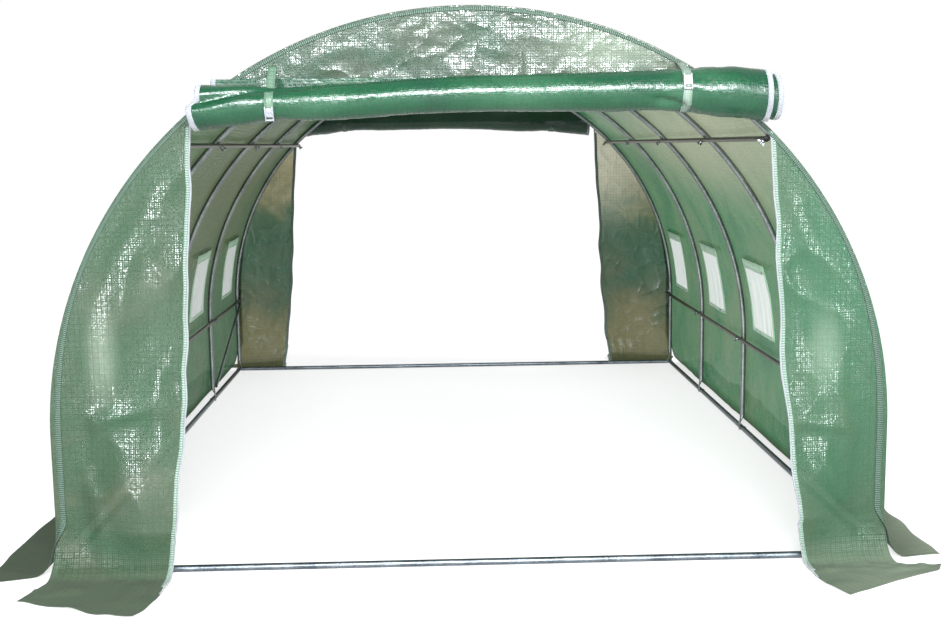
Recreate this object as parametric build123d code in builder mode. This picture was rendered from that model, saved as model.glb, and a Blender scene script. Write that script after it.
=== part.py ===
"""Walk-in polytunnel greenhouse: a steel tube frame under a fabric cover.

Millimetres, +Z up.  The origin lies on the ground in the middle of the tunnel.
The front doorway faces -Y and the back doorway faces +Y.  The back end is the
front end turned half a turn, so both doors are off centre to the same hand.
"""
import os
from math import asin, cos, degrees, radians, sin

from build123d import *

# ---- Driving dimensions -------------------------------------------------
tunnel_width = 3000  # over the cover, at the legs
leg_height = 490  # straight leg below each half circle
bay_length = 1000  # from hoop to hoop
bay_count = 4

hoop_diameter = 25
hoop_wall = 0.8
rail_diameter = 25
rail_wall = 0.8
purlin_diameter = 19
purlin_wall = 0.8
brace_diameter = 16
brace_wall = 0.8
clearance = 0.3  # between pieces that bear on each other

# Swaged joints between the sections of a long tube
joint_length = 60
joint_groove = 4  # narrow ring of the neck that stays in sight
cross_rail_section_count = 3
upper_purlin_angle = 45  # above the level, about the arc centre

# Flattened feet of the hoops, bolted to the inner side of the base rails
crimp_length = 45
foot_height = 34
foot_width = 30
foot_thickness = 2.4
foot_lift = 1.5  # between the foot and the ground

# Cover
cover_thickness = 3
seam_angle = 45  # where the side covers meet the roof cover
flare_height = 110  # the cover turns outwards below this height
flare_reach = 50
skirt_thickness = 3
side_skirt_width = 215
side_skirt_setback = 45  # from the end hoops

# Doorways
door_width = 2000  # at the lintel
door_lean = 130  # each side of the doorway stands out this much further at the ground
door_offset = 50  # both doorways lie this far to the right, seen from outside
lintel_height = 1700
door_roll_diameter = 144
door_roll_setback = 5  # from the sides of the doorway, at the lintel
door_roll_drop = 17  # roll axis below the lower edge of the gable
tie_width = 30
tie_thickness = 2
tie_setback = 305  # from the ends of the door roll, to the middle of each strap
tie_height = 1810

# Skirts of the end panels, spread on the ground before the doorway
end_skirt_door_depth = 400
end_skirt_corner_depth = 225
end_skirt_splay = 60  # the outer edge starts this far from the doorway
end_skirt_corner_reach = 40  # beyond the side cover's ground line

# Windows in the side covers, one in each bay
window_width = 390
window_height = 315  # along the arc
window_sill = 577  # above the ground
window_shift = 140  # from the middle of the bay towards the back
flap_roll_diameter = 34
flap_roll_overhang = 25
flap_roll_gap = 22  # along the arc, from the window's upper edge

# ---- Sizes that follow --------------------------------------------------
cover_radius = tunnel_width / 2
cover_inner_radius = cover_radius - cover_thickness
hoop_tube_radius = hoop_diameter / 2
hoop_radius = cover_inner_radius - clearance - hoop_tube_radius
hoop_inner_radius = hoop_radius - hoop_tube_radius
arc_centre = (0, leg_height)

frame_half_length = bay_length * bay_count / 2
hoop_places = [i * bay_length - frame_half_length for i in range(bay_count + 1)]
bay_centres = [y + bay_length / 2 for y in hoop_places[:-1]]

foot_x = hoop_radius - rail_diameter / 2 - clearance - foot_thickness / 2
foot_top = foot_lift + foot_height
crimp_top = foot_top + crimp_length
cross_rail_half_length = foot_x - foot_thickness / 2 - clearance
purlin_radius = hoop_inner_radius - clearance - purlin_diameter / 2
purlin_overhang = hoop_tube_radius
brace_x = hoop_inner_radius - clearance - brace_diameter / 2

panel_inner = frame_half_length + hoop_tube_radius + clearance
panel_outer = panel_inner + cover_thickness
panel_edge_radius = cover_inner_radius - clearance
cover_half_length = panel_outer
ground_line_x = cover_radius + flare_reach
ground_line_y = panel_outer + flare_reach

door_edges = (door_offset - door_width / 2, door_offset + door_width / 2)
door_feet = (door_edges[0] - door_lean, door_edges[1] + door_lean)
door_roll_ends = (door_edges[0] + door_roll_setback, door_edges[1] - door_roll_setback)
door_roll_radius = door_roll_diameter / 2
door_roll_y = -(panel_outer + 2 * clearance + tie_thickness + door_roll_radius)
door_roll_z = lintel_height - door_roll_drop

window_start = degrees(asin((window_sill - leg_height) / cover_radius))
window_stop = window_start + degrees(window_height / cover_radius)
window_places = [y + window_shift for y in bay_centres]


def save(piece, name):
    """Label one finished piece and write it to its own STEP file."""
    piece.label = name
    export_step(piece, f"parts/{name}.step")


def on_arc(radius, angle):
    """Point in the tunnel's section, at an angle above the level."""
    return radius * cos(radians(angle)), leg_height + radius * sin(radians(angle))


# ---- Steel tubes --------------------------------------------------------
def make_hoop(y):
    """One bent tube: a half circle on two straight legs with flattened feet."""
    sides = [(-hoop_radius, y), (hoop_radius, y)]
    with BuildPart() as hoop:
        with BuildSketch(Plane.XY.offset(leg_height)):
            with Locations(sides[1]):
                Circle(hoop_tube_radius)
                Circle(hoop_tube_radius - hoop_wall, mode=Mode.SUBTRACT)
        revolve(axis=Axis((0, y, leg_height), (0, -1, 0)), revolution_arc=180)
        with BuildSketch(Plane.XY.offset(crimp_top)):
            with Locations(sides):
                Circle(hoop_tube_radius)
                Circle(hoop_tube_radius - hoop_wall, mode=Mode.SUBTRACT)
        extrude(amount=leg_height - crimp_top)
        for side in (-1, 1):
            with BuildSketch(Plane.XY.offset(crimp_top)):
                with Locations((side * hoop_radius, y)):
                    Circle(hoop_tube_radius)
            with BuildSketch(Plane.XY.offset(foot_top)):
                with Locations((side * foot_x, y)):
                    Rectangle(foot_thickness, foot_width)
            loft()
        with BuildSketch(Plane.XY.offset(foot_lift)):
            with Locations((-foot_x, y), (foot_x, y)):
                Rectangle(foot_thickness, foot_width)
        extrude(amount=foot_height)
    return hoop.part


def make_jointed_tube(start, direction, length, sections, diameter, wall):
    """Tube in sections: each has a swaged neck that slides into the next."""
    radius = diameter / 2
    bore = radius - wall
    neck = bore - clearance
    pitch = length / sections
    along = Plane(origin=start, x_dir=direction, z_dir=Vector(direction).cross(Vector(0, 0, 1)))
    axis = Axis(start, direction)
    with BuildPart() as tube:
        for i in range(sections):
            near = i * pitch
            far = near + pitch
            if i < sections - 1:
                step = far - joint_groove
                tip = far + joint_length
                outline = [(near, bore), (near, radius), (step, radius), (far, neck), (tip, neck)]
                outline += [(tip, neck - wall), (far, neck - wall), (step, bore)]
            else:
                outline = [(near, bore), (near, radius), (far, radius), (far, bore)]
            with BuildSketch(along):
                with BuildLine():
                    Polyline(*outline, close=True)
                make_face()
            revolve(axis=axis)
    return tube.part


def make_brace(side, high_y, low_y):
    """Straight tube from below a lower purlin to the foot of the next hoop."""
    high = Vector(side * brace_x, high_y, leg_height - purlin_diameter / 2 - brace_diameter)
    low = Vector(side * brace_x, low_y, crimp_top + brace_diameter / 2)
    run = high - low
    with BuildPart() as brace:
        with BuildSketch(Plane(origin=low, x_dir=(1, 0, 0), z_dir=run)):
            Circle(brace_diameter / 2)
            Circle(brace_diameter / 2 - brace_wall, mode=Mode.SUBTRACT)
        extrude(amount=run.length)
    return brace.part


# ---- Side and roof covers -----------------------------------------------
def ring_sector(inner, outer, start, stop, y=0):
    """Part of a ring about the arc centre, between two angles above the level."""
    with BuildSketch(Plane.XZ.offset(-y)) as sector:
        with BuildLine():
            CenterArc(arc_centre, inner, start, stop - start)
            CenterArc(arc_centre, outer, start, stop - start)
            Line(on_arc(inner, start), on_arc(outer, start))
            Line(on_arc(inner, stop), on_arc(outer, stop))
        make_face()
    return sector.sketch


def make_right_cover():
    """Side cover: flared at the ground, upright at the legs, then curved."""
    flare = [
        (ground_line_x, 0),
        (cover_radius, flare_height),
        (cover_radius, leg_height),
        (cover_inner_radius, leg_height),
        (cover_inner_radius, flare_height),
        (ground_line_x - cover_thickness, 0),
    ]
    with BuildPart() as cover:
        with BuildSketch(Plane.XZ):
            with BuildLine():
                Polyline(*flare, close=True)
            make_face()
        extrude(amount=cover_half_length, both=True)
        extrude(
            ring_sector(cover_inner_radius, cover_radius, 0, seam_angle),
            amount=cover_half_length,
            both=True,
        )
        for y in window_places:
            cut = ring_sector(
                cover_inner_radius - cover_thickness,
                cover_radius + cover_thickness,
                window_start,
                window_stop,
                y,
            )
            extrude(cut, amount=window_width / 2, both=True, mode=Mode.SUBTRACT)
    return cover.part


def make_roof_cover():
    """Curved sheet over the crown, from seam to seam."""
    with BuildPart() as roof:
        extrude(
            ring_sector(cover_inner_radius, cover_radius, seam_angle, 180 - seam_angle),
            amount=cover_half_length,
            both=True,
        )
    return roof.part


def make_right_window_nets():
    """One net in each window, clear of its edges all round."""
    edge = degrees(clearance / cover_radius)
    with BuildPart() as nets:
        for y in window_places:
            net = ring_sector(
                cover_inner_radius, cover_radius, window_start + edge, window_stop - edge, y
            )
            extrude(net, amount=window_width / 2 - clearance, both=True)
    return nets.part


def make_right_window_flaps():
    """The window flaps, rolled up above the windows on the outside."""
    radius = flap_roll_diameter / 2
    angle = window_stop + degrees((flap_roll_gap + radius) / cover_radius)
    centre = on_arc(cover_radius + clearance + radius, angle)
    half_length = window_width / 2 + flap_roll_overhang
    with BuildPart() as flaps:
        for y in window_places:
            with BuildSketch(Plane.XZ.offset(-y)):
                with Locations(centre):
                    Circle(radius)
            extrude(amount=half_length, both=True)
    return flaps.part


def make_right_skirt():
    """Flat ground skirt along the side, outside the cover's ground line."""
    length = 2 * (frame_half_length - side_skirt_setback)
    inner = ground_line_x + clearance
    with BuildPart() as skirt:
        with BuildSketch(Plane.XY):
            with Locations((inner + side_skirt_width / 2, 0)):
                Rectangle(side_skirt_width, length)
        extrude(amount=skirt_thickness)
    return skirt.part


# ---- Front end: the back end is the same, turned half a turn ------------
def tunnel_section(radius):
    """The tunnel's section: an upright-sided arch of one radius."""
    with BuildSketch(Plane.XZ) as section:
        with Locations(arc_centre):
            Circle(radius)
        with Locations((0, leg_height / 2)):
            Rectangle(2 * radius, leg_height)
    return section.sketch


def make_gable():
    """Half-moon panel above the doorway."""
    crown = leg_height + panel_edge_radius
    with BuildPart() as gable:
        with BuildSketch(Plane.XZ.offset(panel_inner)):
            with Locations(arc_centre):
                Circle(panel_edge_radius)
            with Locations((0, (lintel_height + crown) / 2)):
                Rectangle(2 * panel_edge_radius, crown - lintel_height, mode=Mode.INTERSECT)
        extrude(amount=cover_thickness)
    return gable.part


def make_end_panel(side):
    """Upright panel beside the doorway, flared forwards at the ground."""
    crown = leg_height + panel_edge_radius
    section = [
        (-panel_outer, crown),
        (-panel_outer, flare_height),
        (-ground_line_y, 0),
        (cover_thickness - ground_line_y, 0),
        (-panel_inner, flare_height),
        (-panel_inner, crown),
    ]
    door_edge, door_foot = (ends[0 if side < 0 else 1] for ends in (door_edges, door_feet))
    lean = (door_edge - door_foot) / lintel_height
    outside = side * panel_edge_radius
    face = [
        (door_foot, 0),
        (door_foot + lean * crown, crown),
        (outside, crown),
        (outside, 0),
    ]
    with BuildPart() as panel:
        with BuildSketch(Plane.YZ.offset(min(0, outside))):
            with BuildLine():
                Polyline(*section, close=True)
            make_face()
        extrude(amount=panel_edge_radius)
        with BuildSketch(Plane.XZ):
            with BuildLine():
                Polyline(*face, close=True)
            make_face()
        extrude(amount=ground_line_y, both=True, mode=Mode.INTERSECT)
        extrude(
            tunnel_section(panel_edge_radius),
            amount=ground_line_y,
            both=True,
            mode=Mode.INTERSECT,
        )
    return panel.part


def make_end_skirt(side):
    """Ground skirt of one end panel, spread out before it and past the corner."""
    edge = abs(door_feet[0] if side < 0 else door_feet[1])
    start = ground_line_y + clearance
    corner = ground_line_x + end_skirt_corner_reach
    outline = [
        (side * edge, -start),
        (side * (edge + end_skirt_splay), -panel_outer - end_skirt_door_depth),
        (side * corner, -panel_outer - end_skirt_corner_depth),
        (side * (corner - end_skirt_corner_reach), -start),
    ]
    with BuildPart() as skirt:
        with BuildSketch(Plane.XY):
            with BuildLine():
                Polyline(*outline, close=True)
            make_face()
        extrude(amount=skirt_thickness)
    return skirt.part


def make_door_roll():
    """The door, rolled up under the gable on the outside."""
    with BuildPart() as roll:
        with BuildSketch(Plane.YZ.offset(door_roll_ends[0])):
            with Locations((door_roll_y, door_roll_z)):
                Circle(door_roll_radius)
        extrude(amount=door_roll_ends[1] - door_roll_ends[0])
    return roll.part


def make_door_ties():
    """Two straps, each sewn to the gable and buckled round the door roll."""
    loop_inner = door_roll_radius + clearance
    loop_outer = loop_inner + tie_thickness
    tail_length = tie_height - door_roll_z
    with BuildPart() as ties:
        for x in (door_roll_ends[0] + tie_setback, door_roll_ends[1] - tie_setback):
            with BuildSketch(Plane.YZ.offset(x)):
                with Locations((door_roll_y, door_roll_z)):
                    Circle(loop_outer)
                tail_y = door_roll_y + loop_outer - tie_thickness / 2
                with Locations((tail_y, door_roll_z + tail_length / 2)):
                    Rectangle(tie_thickness, tail_length)
                with Locations((door_roll_y, door_roll_z)):
                    Circle(loop_inner, mode=Mode.SUBTRACT)
            extrude(amount=tie_width / 2, both=True)
    return ties.part


# ---- Build and write every piece ----------------------------------------
os.makedirs("parts", exist_ok=True)

for number, place in enumerate(hoop_places, start=1):
    save(make_hoop(place), f"hoop_{number}")

rail_z = rail_diameter / 2
for name, side in (("left", -1), ("right", 1)):
    rail_start = Vector(side * hoop_radius, -frame_half_length - foot_width / 2, rail_z)
    rail_length = 2 * frame_half_length + foot_width
    rail = make_jointed_tube(
        rail_start, (0, 1, 0), rail_length, bay_count, rail_diameter, rail_wall
    )
    save(rail, f"base_rail_{name}")
for name, place in (("front", -frame_half_length), ("back", frame_half_length)):
    rail_start = Vector(-cross_rail_half_length, place, rail_z)
    rail = make_jointed_tube(
        rail_start,
        (1, 0, 0),
        2 * cross_rail_half_length,
        cross_rail_section_count,
        rail_diameter,
        rail_wall,
    )
    save(rail, f"base_rail_{name}")

purlin_angles = {
    "lower_purlin_right": 0,
    "upper_purlin_right": upper_purlin_angle,
    "ridge_purlin": 90,
    "upper_purlin_left": 180 - upper_purlin_angle,
    "lower_purlin_left": 180,
}
for name, angle in purlin_angles.items():
    purlin_x, purlin_z = on_arc(purlin_radius, angle)
    purlin_start = Vector(purlin_x, -frame_half_length - purlin_overhang, purlin_z)
    purlin_length = 2 * (frame_half_length + purlin_overhang)
    purlin = make_jointed_tube(
        purlin_start, (0, 1, 0), purlin_length, bay_count, purlin_diameter, purlin_wall
    )
    save(purlin, name)

save(make_brace(1, hoop_places[0], hoop_places[1]), "brace_front_right")
save(make_brace(-1, hoop_places[-1], hoop_places[-2]), "brace_back_left")

save(make_roof_cover(), "cover_roof")
right_pieces = {
    "cover": make_right_cover(),
    "window_nets": make_right_window_nets(),
    "window_flaps": make_right_window_flaps(),
    "side_skirt": make_right_skirt(),
}
for name, piece in right_pieces.items():
    save(piece, f"{name}_right")
    save(mirror(piece, about=Plane.YZ), f"{name}_left")

front_pieces = {
    "gable": make_gable(),
    "left_panel": make_end_panel(-1),
    "right_panel": make_end_panel(1),
    "left_skirt": make_end_skirt(-1),
    "right_skirt": make_end_skirt(1),
    "door_roll": make_door_roll(),
    "door_ties": make_door_ties(),
}
turned_names = {"left_panel": "right_panel", "right_panel": "left_panel"}
turned_names |= {"left_skirt": "right_skirt", "right_skirt": "left_skirt"}
for name, piece in front_pieces.items():
    save(piece, f"front_{name}")
    save(piece.rotate(Axis.Z, 180), f"back_{turned_names.get(name, name)}")
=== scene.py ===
"""Looks of a walk-in polytunnel greenhouse: woven film cover, rolled doors, net windows
and small fittings, all hung on the fixed steel frame.

Metres, +Z up, in the frame of the construction.  The front doorway faces -Y.
"""

from functools import partial
from math import asin, ceil, cos, exp, hypot, pi, radians, sin, sqrt, tau

import bpy
import numpy as np
from mathutils import Matrix, Vector, noise


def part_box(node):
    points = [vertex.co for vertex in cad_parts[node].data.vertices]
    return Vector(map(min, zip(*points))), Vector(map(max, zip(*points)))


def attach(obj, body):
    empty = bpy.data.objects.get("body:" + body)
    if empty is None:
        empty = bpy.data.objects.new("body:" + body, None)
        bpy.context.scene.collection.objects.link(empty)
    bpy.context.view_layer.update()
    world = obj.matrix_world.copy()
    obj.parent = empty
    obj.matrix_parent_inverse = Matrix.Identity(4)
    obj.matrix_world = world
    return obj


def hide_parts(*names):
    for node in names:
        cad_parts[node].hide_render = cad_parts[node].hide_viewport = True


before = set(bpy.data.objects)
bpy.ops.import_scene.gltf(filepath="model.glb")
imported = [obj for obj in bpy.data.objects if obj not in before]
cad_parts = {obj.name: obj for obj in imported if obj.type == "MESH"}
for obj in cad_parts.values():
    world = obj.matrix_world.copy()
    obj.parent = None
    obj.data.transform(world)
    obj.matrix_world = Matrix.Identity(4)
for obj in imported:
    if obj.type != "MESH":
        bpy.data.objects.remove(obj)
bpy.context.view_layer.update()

# ---- Sizes read from the frame ------------------------------------------
roof_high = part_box("cover_roof")[1]
COVER_RADIUS = roof_high.x * sqrt(2)  # the roof's seams lie at 45 degrees
LEG_HEIGHT = roof_high.z - COVER_RADIUS
END_FACE = roof_high.y  # outer face of the end sheets
SKIRT_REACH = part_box("side_skirt_right")[1].x
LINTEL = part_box("front_gable")[0].z
HOOPS = [f"hoop_{n}" for n in range(1, 6)]
HOOP_PLACES = [sum(corner.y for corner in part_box(hoop)) / 2 for hoop in HOOPS]
END_HOOP = HOOP_PLACES[-1]
BAY = HOOP_PLACES[1] - HOOP_PLACES[0]
net_low, net_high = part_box("window_nets_right")

# ---- Sizes of the cover -------------------------------------------------
FILM_RADIUS = COVER_RADIUS - 0.0023  # the film touches the hoops
HOOP_RADIUS = COVER_RADIUS - 0.0158  # to the middle of the hoop's tube
HOOP_TUBE = 0.0125  # outer radius of the tube
WRAP_RADIUS = FILM_RADIUS - HOOP_RADIUS  # the film turns over the end hoops
# The dark seam tape so covers most of the film's turn over the hoop, as painted shade.
HEM_STITCH = 0.0075  # the arch seam starts this far past an end hoop
HEM_BEND = 0.015  # and from here the hem reaches further beside the legs
HEM = 0.006  # turned onto the end sheet after the hoop
FLARE_TOP = 0.17  # below this the film swings out to the ground
FILM_GROUND = 0.0025  # height of the film's middle where it lies on the ground
FILM_LOWEST = 0.0015  # no point of the cover is lower
FLARE_HEIGHTS = (FLARE_TOP, 0.07, FILM_GROUND, FILM_GROUND)  # pulls on the flare's bend
SAG = 0.009  # between two hoops
FILM_CREASE = 0.0035  # depth of its creases
SKIRT_RIPPLE = 0.004  # height of the ripples in a skirt
SHEET_FACE = END_FACE - 0.0026  # plane of the end sheets
HEM_FACE = END_FACE - 0.0008  # the cover's hem lies over them
FINE = 0.024  # mesh step of the big cover
SMALL = 0.011  # mesh step of the end sheets
MERGE_DISTANCE = 0.0002  # nearer points of one sheet are the same point

# ---- Tapes, windows and tubes -------------------------------------------
TAPE_WIDTH = 0.006  # white binding along the free edges
LADDER_WIDTH = 0.012  # zip beside it
ROLL_TAPE = 0.018  # binding on the ends of the rolled doors
SEAM_THICKNESS = 0.0012
BINDING_THICKNESS = 0.0030
ZIP_THICKNESS = 0.0018
ROLL_BINDING_THICKNESS = 0.0026
TIE_THICKNESS = 0.0014  # of the straps round the rolled doors
FLAP_TIE_THICKNESS = 0.0012
WINDOW_WIDTH = 0.39
WINDOW_SHIFT = 0.14  # from the middle of the bay towards the back
WINDOW_STEP = 0.03  # mesh step of the nets and hems
FLAP_ROLL = 0.017  # outer radius of a rolled flap
PURLIN_TUBE = 0.0095  # outer radius of a purlin


# ---- General helpers ----------------------------------------------------
def smooth(value, low, high):
    """0 below low, 1 above high, and an even turn between them."""
    share = min(1.0, max(0.0, (value - low) / (high - low)))
    return share * share * (3 - 2 * share)


def eased(value, stations):
    """Height of a soft line through a few (place, height) stations."""
    if value <= stations[0][0]:
        return stations[0][1]
    for (near, first), (far, second) in zip(stations, stations[1:]):
        if value <= far:
            return first + (second - first) * smooth(value, near, far)
    return stations[-1][1]


def filled(breaks, step):
    """Stations through every break, with even steps no longer than step between."""
    stations = [breaks[0]]
    for near, far in zip(breaks, breaks[1:]):
        count = max(1, ceil((far - near) / step - 1e-6))
        stations += [near + (far - near) * k / count for k in range(1, count + 1)]
    return stations


def soft_bend(pulls, t):
    """Value at t, from 0 to 1, on a soft bend drawn from the first of four pulls to the last."""
    weights = ((1 - t) ** 3, 3 * t * (1 - t) ** 2, 3 * t * t * (1 - t), t**3)
    return sum(w * pull for w, pull in zip(weights, pulls))


def mound(aside, reach):
    """1 in the middle of a rounded mark, falling to 0 past its reach."""
    return exp(-((aside / reach) ** 2))


def swell(x, y, size, seed):
    """Soft hills and hollows about size apart, from -1 to 1."""
    return 1.6 * noise.noise(Vector((x / size, y / size, seed)))


def crease(x, y, size, seed):
    """Sharp-backed creases of stiff film about size apart, from 0 to 1."""
    ridge = 1 - 2.6 * abs(noise.noise(Vector((x / size, y / size, seed))))
    return max(0.0, ridge) ** 2


def deselect():
    """Leave nothing selected."""
    bpy.ops.object.select_all(action="DESELECT")


def pick(piece):
    """Make a piece the only selected object."""
    deselect()
    piece.select_set(True)
    bpy.context.view_layer.objects.active = piece


def name_piece(piece, name):
    """Name a piece and its mesh alike."""
    piece.name = name
    piece.data.name = name
    return piece


def finish_piece(piece, material, stands_for=()):
    """Apply the piece's place to its mesh, give it its finish and hang it on the frame."""
    pick(piece)
    bpy.ops.object.transform_apply(location=True, rotation=True, scale=True)
    piece.data.materials.clear()
    piece.data.materials.append(material)
    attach(piece, "root")
    if stands_for:
        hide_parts(*stands_for)
    return piece


def add_sheet(name, across, along, place):
    """Thin sheet on a grid.  place(a, b) gives where the point hangs and where it lies flat."""
    deselect()
    bpy.ops.mesh.primitive_grid_add(
        x_subdivisions=len(across) - 1, y_subdivisions=len(along) - 1, size=2
    )
    sheet = name_piece(bpy.context.object, name)
    flat = []
    for index, vertex in enumerate(sheet.data.vertices):
        row, column = divmod(index, len(across))
        vertex.co, flat_point = place(across[column], along[row])
        flat.append(flat_point)
    layer = sheet.data.uv_layers.active.data
    for loop in sheet.data.loops:
        layer[loop.index].uv = flat[loop.vertex_index]
    sheet.data.update()
    bpy.ops.object.shade_smooth()
    return sheet


def clear_selection(piece, kind):
    """Set a piece to be edited by its points (VERT) or faces (FACE), with none selected."""
    pick(piece)
    bpy.ops.object.mode_set(mode="EDIT")
    bpy.ops.mesh.select_mode(type=kind)
    bpy.ops.mesh.select_all(action="DESELECT")
    bpy.ops.object.mode_set(mode="OBJECT")


def select_points(piece, wanted):
    """Open a piece for editing with the points whose place is wanted selected."""
    clear_selection(piece, "VERT")
    for vertex in piece.data.vertices:
        vertex.select = bool(wanted(vertex.co))
    bpy.ops.object.mode_set(mode="EDIT")


def select_faces(sheet, wanted):
    """Open a sheet for editing with the faces whose middle on the flat sheet is wanted."""
    clear_selection(sheet, "FACE")
    layer = sheet.data.uv_layers.active.data
    for face in sheet.data.polygons:
        corners = [layer[i].uv for i in face.loop_indices]
        middle = sum(corners, Vector((0, 0))) / len(corners)
        face.select = bool(wanted(middle.x, middle.y))
    bpy.ops.object.mode_set(mode="EDIT")


def cut_out(sheet, wanted):
    """Cut the wanted faces out of a sheet."""
    select_faces(sheet, wanted)
    bpy.ops.mesh.delete(type="FACE")
    bpy.ops.object.mode_set(mode="OBJECT")


def close_points(sheet):
    """Merge the points of a sheet that runs to a tip."""
    select_points(sheet, lambda point: True)
    bpy.ops.mesh.remove_doubles(threshold=MERGE_DISTANCE)
    bpy.ops.object.mode_set(mode="OBJECT")


def edge_strip(sheet, name, wanted, thickness, material):
    """Tape sewn round the wanted faces of a sheet: a thicker copy of them."""
    select_faces(sheet, wanted)
    bpy.ops.mesh.duplicate()
    bpy.ops.mesh.separate(type="SELECTED")
    bpy.ops.object.mode_set(mode="OBJECT")
    strip = next(o for o in bpy.context.selected_objects if o != sheet)
    thicken(name_piece(strip, name), thickness)
    return finish_piece(strip, material)


def thicken(piece, thickness):
    """Give a thin piece its thickness, half on each side, and keep it."""
    pick(piece)
    solid = piece.modifiers.new("thickness", "SOLIDIFY")
    solid.thickness = thickness
    solid.offset = 0
    bpy.ops.object.modifier_apply(modifier=solid.name)


# ---- Materials ----------------------------------------------------------
TAPE_PITCH = 0.0080  # of the woven film as drawn; real tapes are under 4 mm apart
GRID_PITCH = 0.0200  # of its reinforcing grid
NET_PITCH = 0.005  # of the insect net as drawn; real threads are about 1.2 mm apart
DRIFT_HEIGHT = 1.75  # the height at which a drifting colour is all turned


def colour(code):
    """Linear colour from an sRGB hex value."""
    parts = [int(code[i : i + 2], 16) / 255 for i in (1, 3, 5)]
    linear = [c / 12.92 if c <= 0.04045 else ((c + 0.055) / 1.055) ** 2.4 for c in parts]
    return (*linear, 1.0)


def tones(*stops):
    """Stops of a colour ramp from (place, sRGB hex value) pairs."""
    return [(place, colour(code)) for place, code in stops]


def add_node(tree, kind, inputs=(), stops=(), **settings):
    """Add a node with its settings and links.

    An input is a value, a socket, or a node whose first output is linked.  The stops are the
    places and colours of a colour ramp.
    """
    node = tree.nodes.new(f"ShaderNode{kind}")
    for key, value in settings.items():
        setattr(node, key, value)
    for key, value in dict(inputs).items():
        if isinstance(value, bpy.types.Node):
            value = value.outputs[0]
        if isinstance(value, bpy.types.NodeSocket):
            tree.links.new(value, node.inputs[key])
        else:
            node.inputs[key].default_value = value
    for number, (place, tint) in enumerate(stops):
        elements = node.color_ramp.elements
        stop = elements[number] if number < 2 else elements.new(place)
        stop.position, stop.color = place, tint
    return node


def new_material(name):
    """Empty material, and add_node set to work in it."""
    material = bpy.data.materials.new(name)
    material.use_nodes = True
    material.node_tree.nodes.clear()
    return material, partial(add_node, material.node_tree)


def stripes(node, value, pitch, low, high):
    """1 on the lines of an even row of stripes, 0 between them.

    Low and high are shares of half the pitch, where a line's edge starts and ends.
    """
    triangle = node("Math", {0: value, 1: pitch / 2}, operation="PINGPONG")
    edges = {"From Min": low * pitch / 2, "From Max": high * pitch / 2}
    return node("MapRange", {"Value": triangle, **edges}, interpolation_type="SMOOTHSTEP")


def tinted(node, base, tint, share, most):
    """A colour turned towards a tint where share is 1, by no more than most."""
    share = node("MapRange", {"Value": share, "To Max": most}, interpolation_type="SMOOTHSTEP")
    return node("Mix", {0: share, 6: base, 7: tint}, data_type="RGBA").outputs[2]


def near_place(node, place, centre, reach):
    """1 at a centre, falling to 0 at its reach along each axis."""
    offset = node("VectorMath", {0: place, 1: centre}, operation="SUBTRACT")
    inverse = tuple(1 / r for r in reach)
    scaled = node("VectorMath", {0: offset, 1: inverse}, operation="MULTIPLY")
    distance = node("VectorMath", {0: scaled}, operation="LENGTH").outputs["Value"]
    return node("Math", {0: 1.0, 1: distance}, operation="SUBTRACT")


def woven_ribs(node, flat):
    """Raised tapes of the weave, and the same with its coarser reinforcing grid.

    The tapes are drawn 8 mm apart, over twice their real spacing, so that they show.
    """
    axes = node("SeparateXYZ", {0: flat}).outputs
    fine = [stripes(node, axes[k], TAPE_PITCH, 0.50, 0.95) for k in (0, 1)]
    coarse = [stripes(node, axes[k], GRID_PITCH, 0.80, 0.93) for k in (0, 1)]
    weave = node("Math", {0: fine[0], 1: fine[1]}, operation="MAXIMUM")
    grid = node("Math", {0: coarse[0], 1: coarse[1]}, operation="MAXIMUM")
    return weave, node("Math", {0: grid, 1: 0.7, 2: weave}, operation="MULTIPLY_ADD")


def film_tint(node, place, height, low, greens, drift, soil, patches):
    """Cloudy green following the height by drift, with soil and painted shade near the ground,
    and patches.
    """
    clouds = {"Vector": place, "Scale": 1 / 0.42, "Detail": 3.0, "Roughness": 0.55}
    clouds = node("TexNoise", clouds | {"Distortion": 0.6})
    risen = node("Math", {0: height, 1: drift / DRIFT_HEIGHT}, operation="MULTIPLY")
    clouds = node("Math", {0: clouds, 1: 1 - drift, 2: risen}, operation="MULTIPLY_ADD")
    body = node("ValToRGB", {0: clouds}, greens)
    # darker near the ground: soil, and painted shade where the skirts lie
    body = tinted(node, body, SOIL_AND_SHADE_FILM, low, soil)
    for centre, reach, tint, most in patches:
        body = tinted(node, body, tint, near_place(node, place, centre, reach), most)
    return body


def film_relief(node, place, ribs, dents, wrinkles, crumples, crackling):
    """Dents, sharp wrinkles, crumples, crackles and ribs, each laid over the one before."""
    dented = {"Scale": 1 / 0.05, "Detail": 2.0, "Roughness": 0.45, "Distortion": 0.3}
    ridged = {"Scale": 1 / 0.11, "Detail": 1.0, "Offset": 1.0, "Distortion": 0.5}
    crumpled = {"Scale": 1 / 0.017, "Detail": 1.5}
    crackled = {"Scale": 1 / 0.0085, "Detail": 1.0}
    ridges = node("TexNoise", {"Vector": place, **ridged}, noise_type="RIDGED_MULTIFRACTAL")
    heights = [
        (node("TexNoise", {"Vector": place, **dented}), dents),
        (ridges, wrinkles),
        (node("TexNoise", {"Vector": place, **crumpled}), crumples),
        (node("TexNoise", {"Vector": place, **crackled}), crackling),
        (ribs, -0.00010),  # the tapes' gaps are sunk by 0.1 mm
    ]
    under = {}
    for height, depth in heights:
        normal = node("Bump", {"Height": height, "Distance": depth, "Strength": 1.0, **under})
        under = {"Normal": normal}
    return normal


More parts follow.
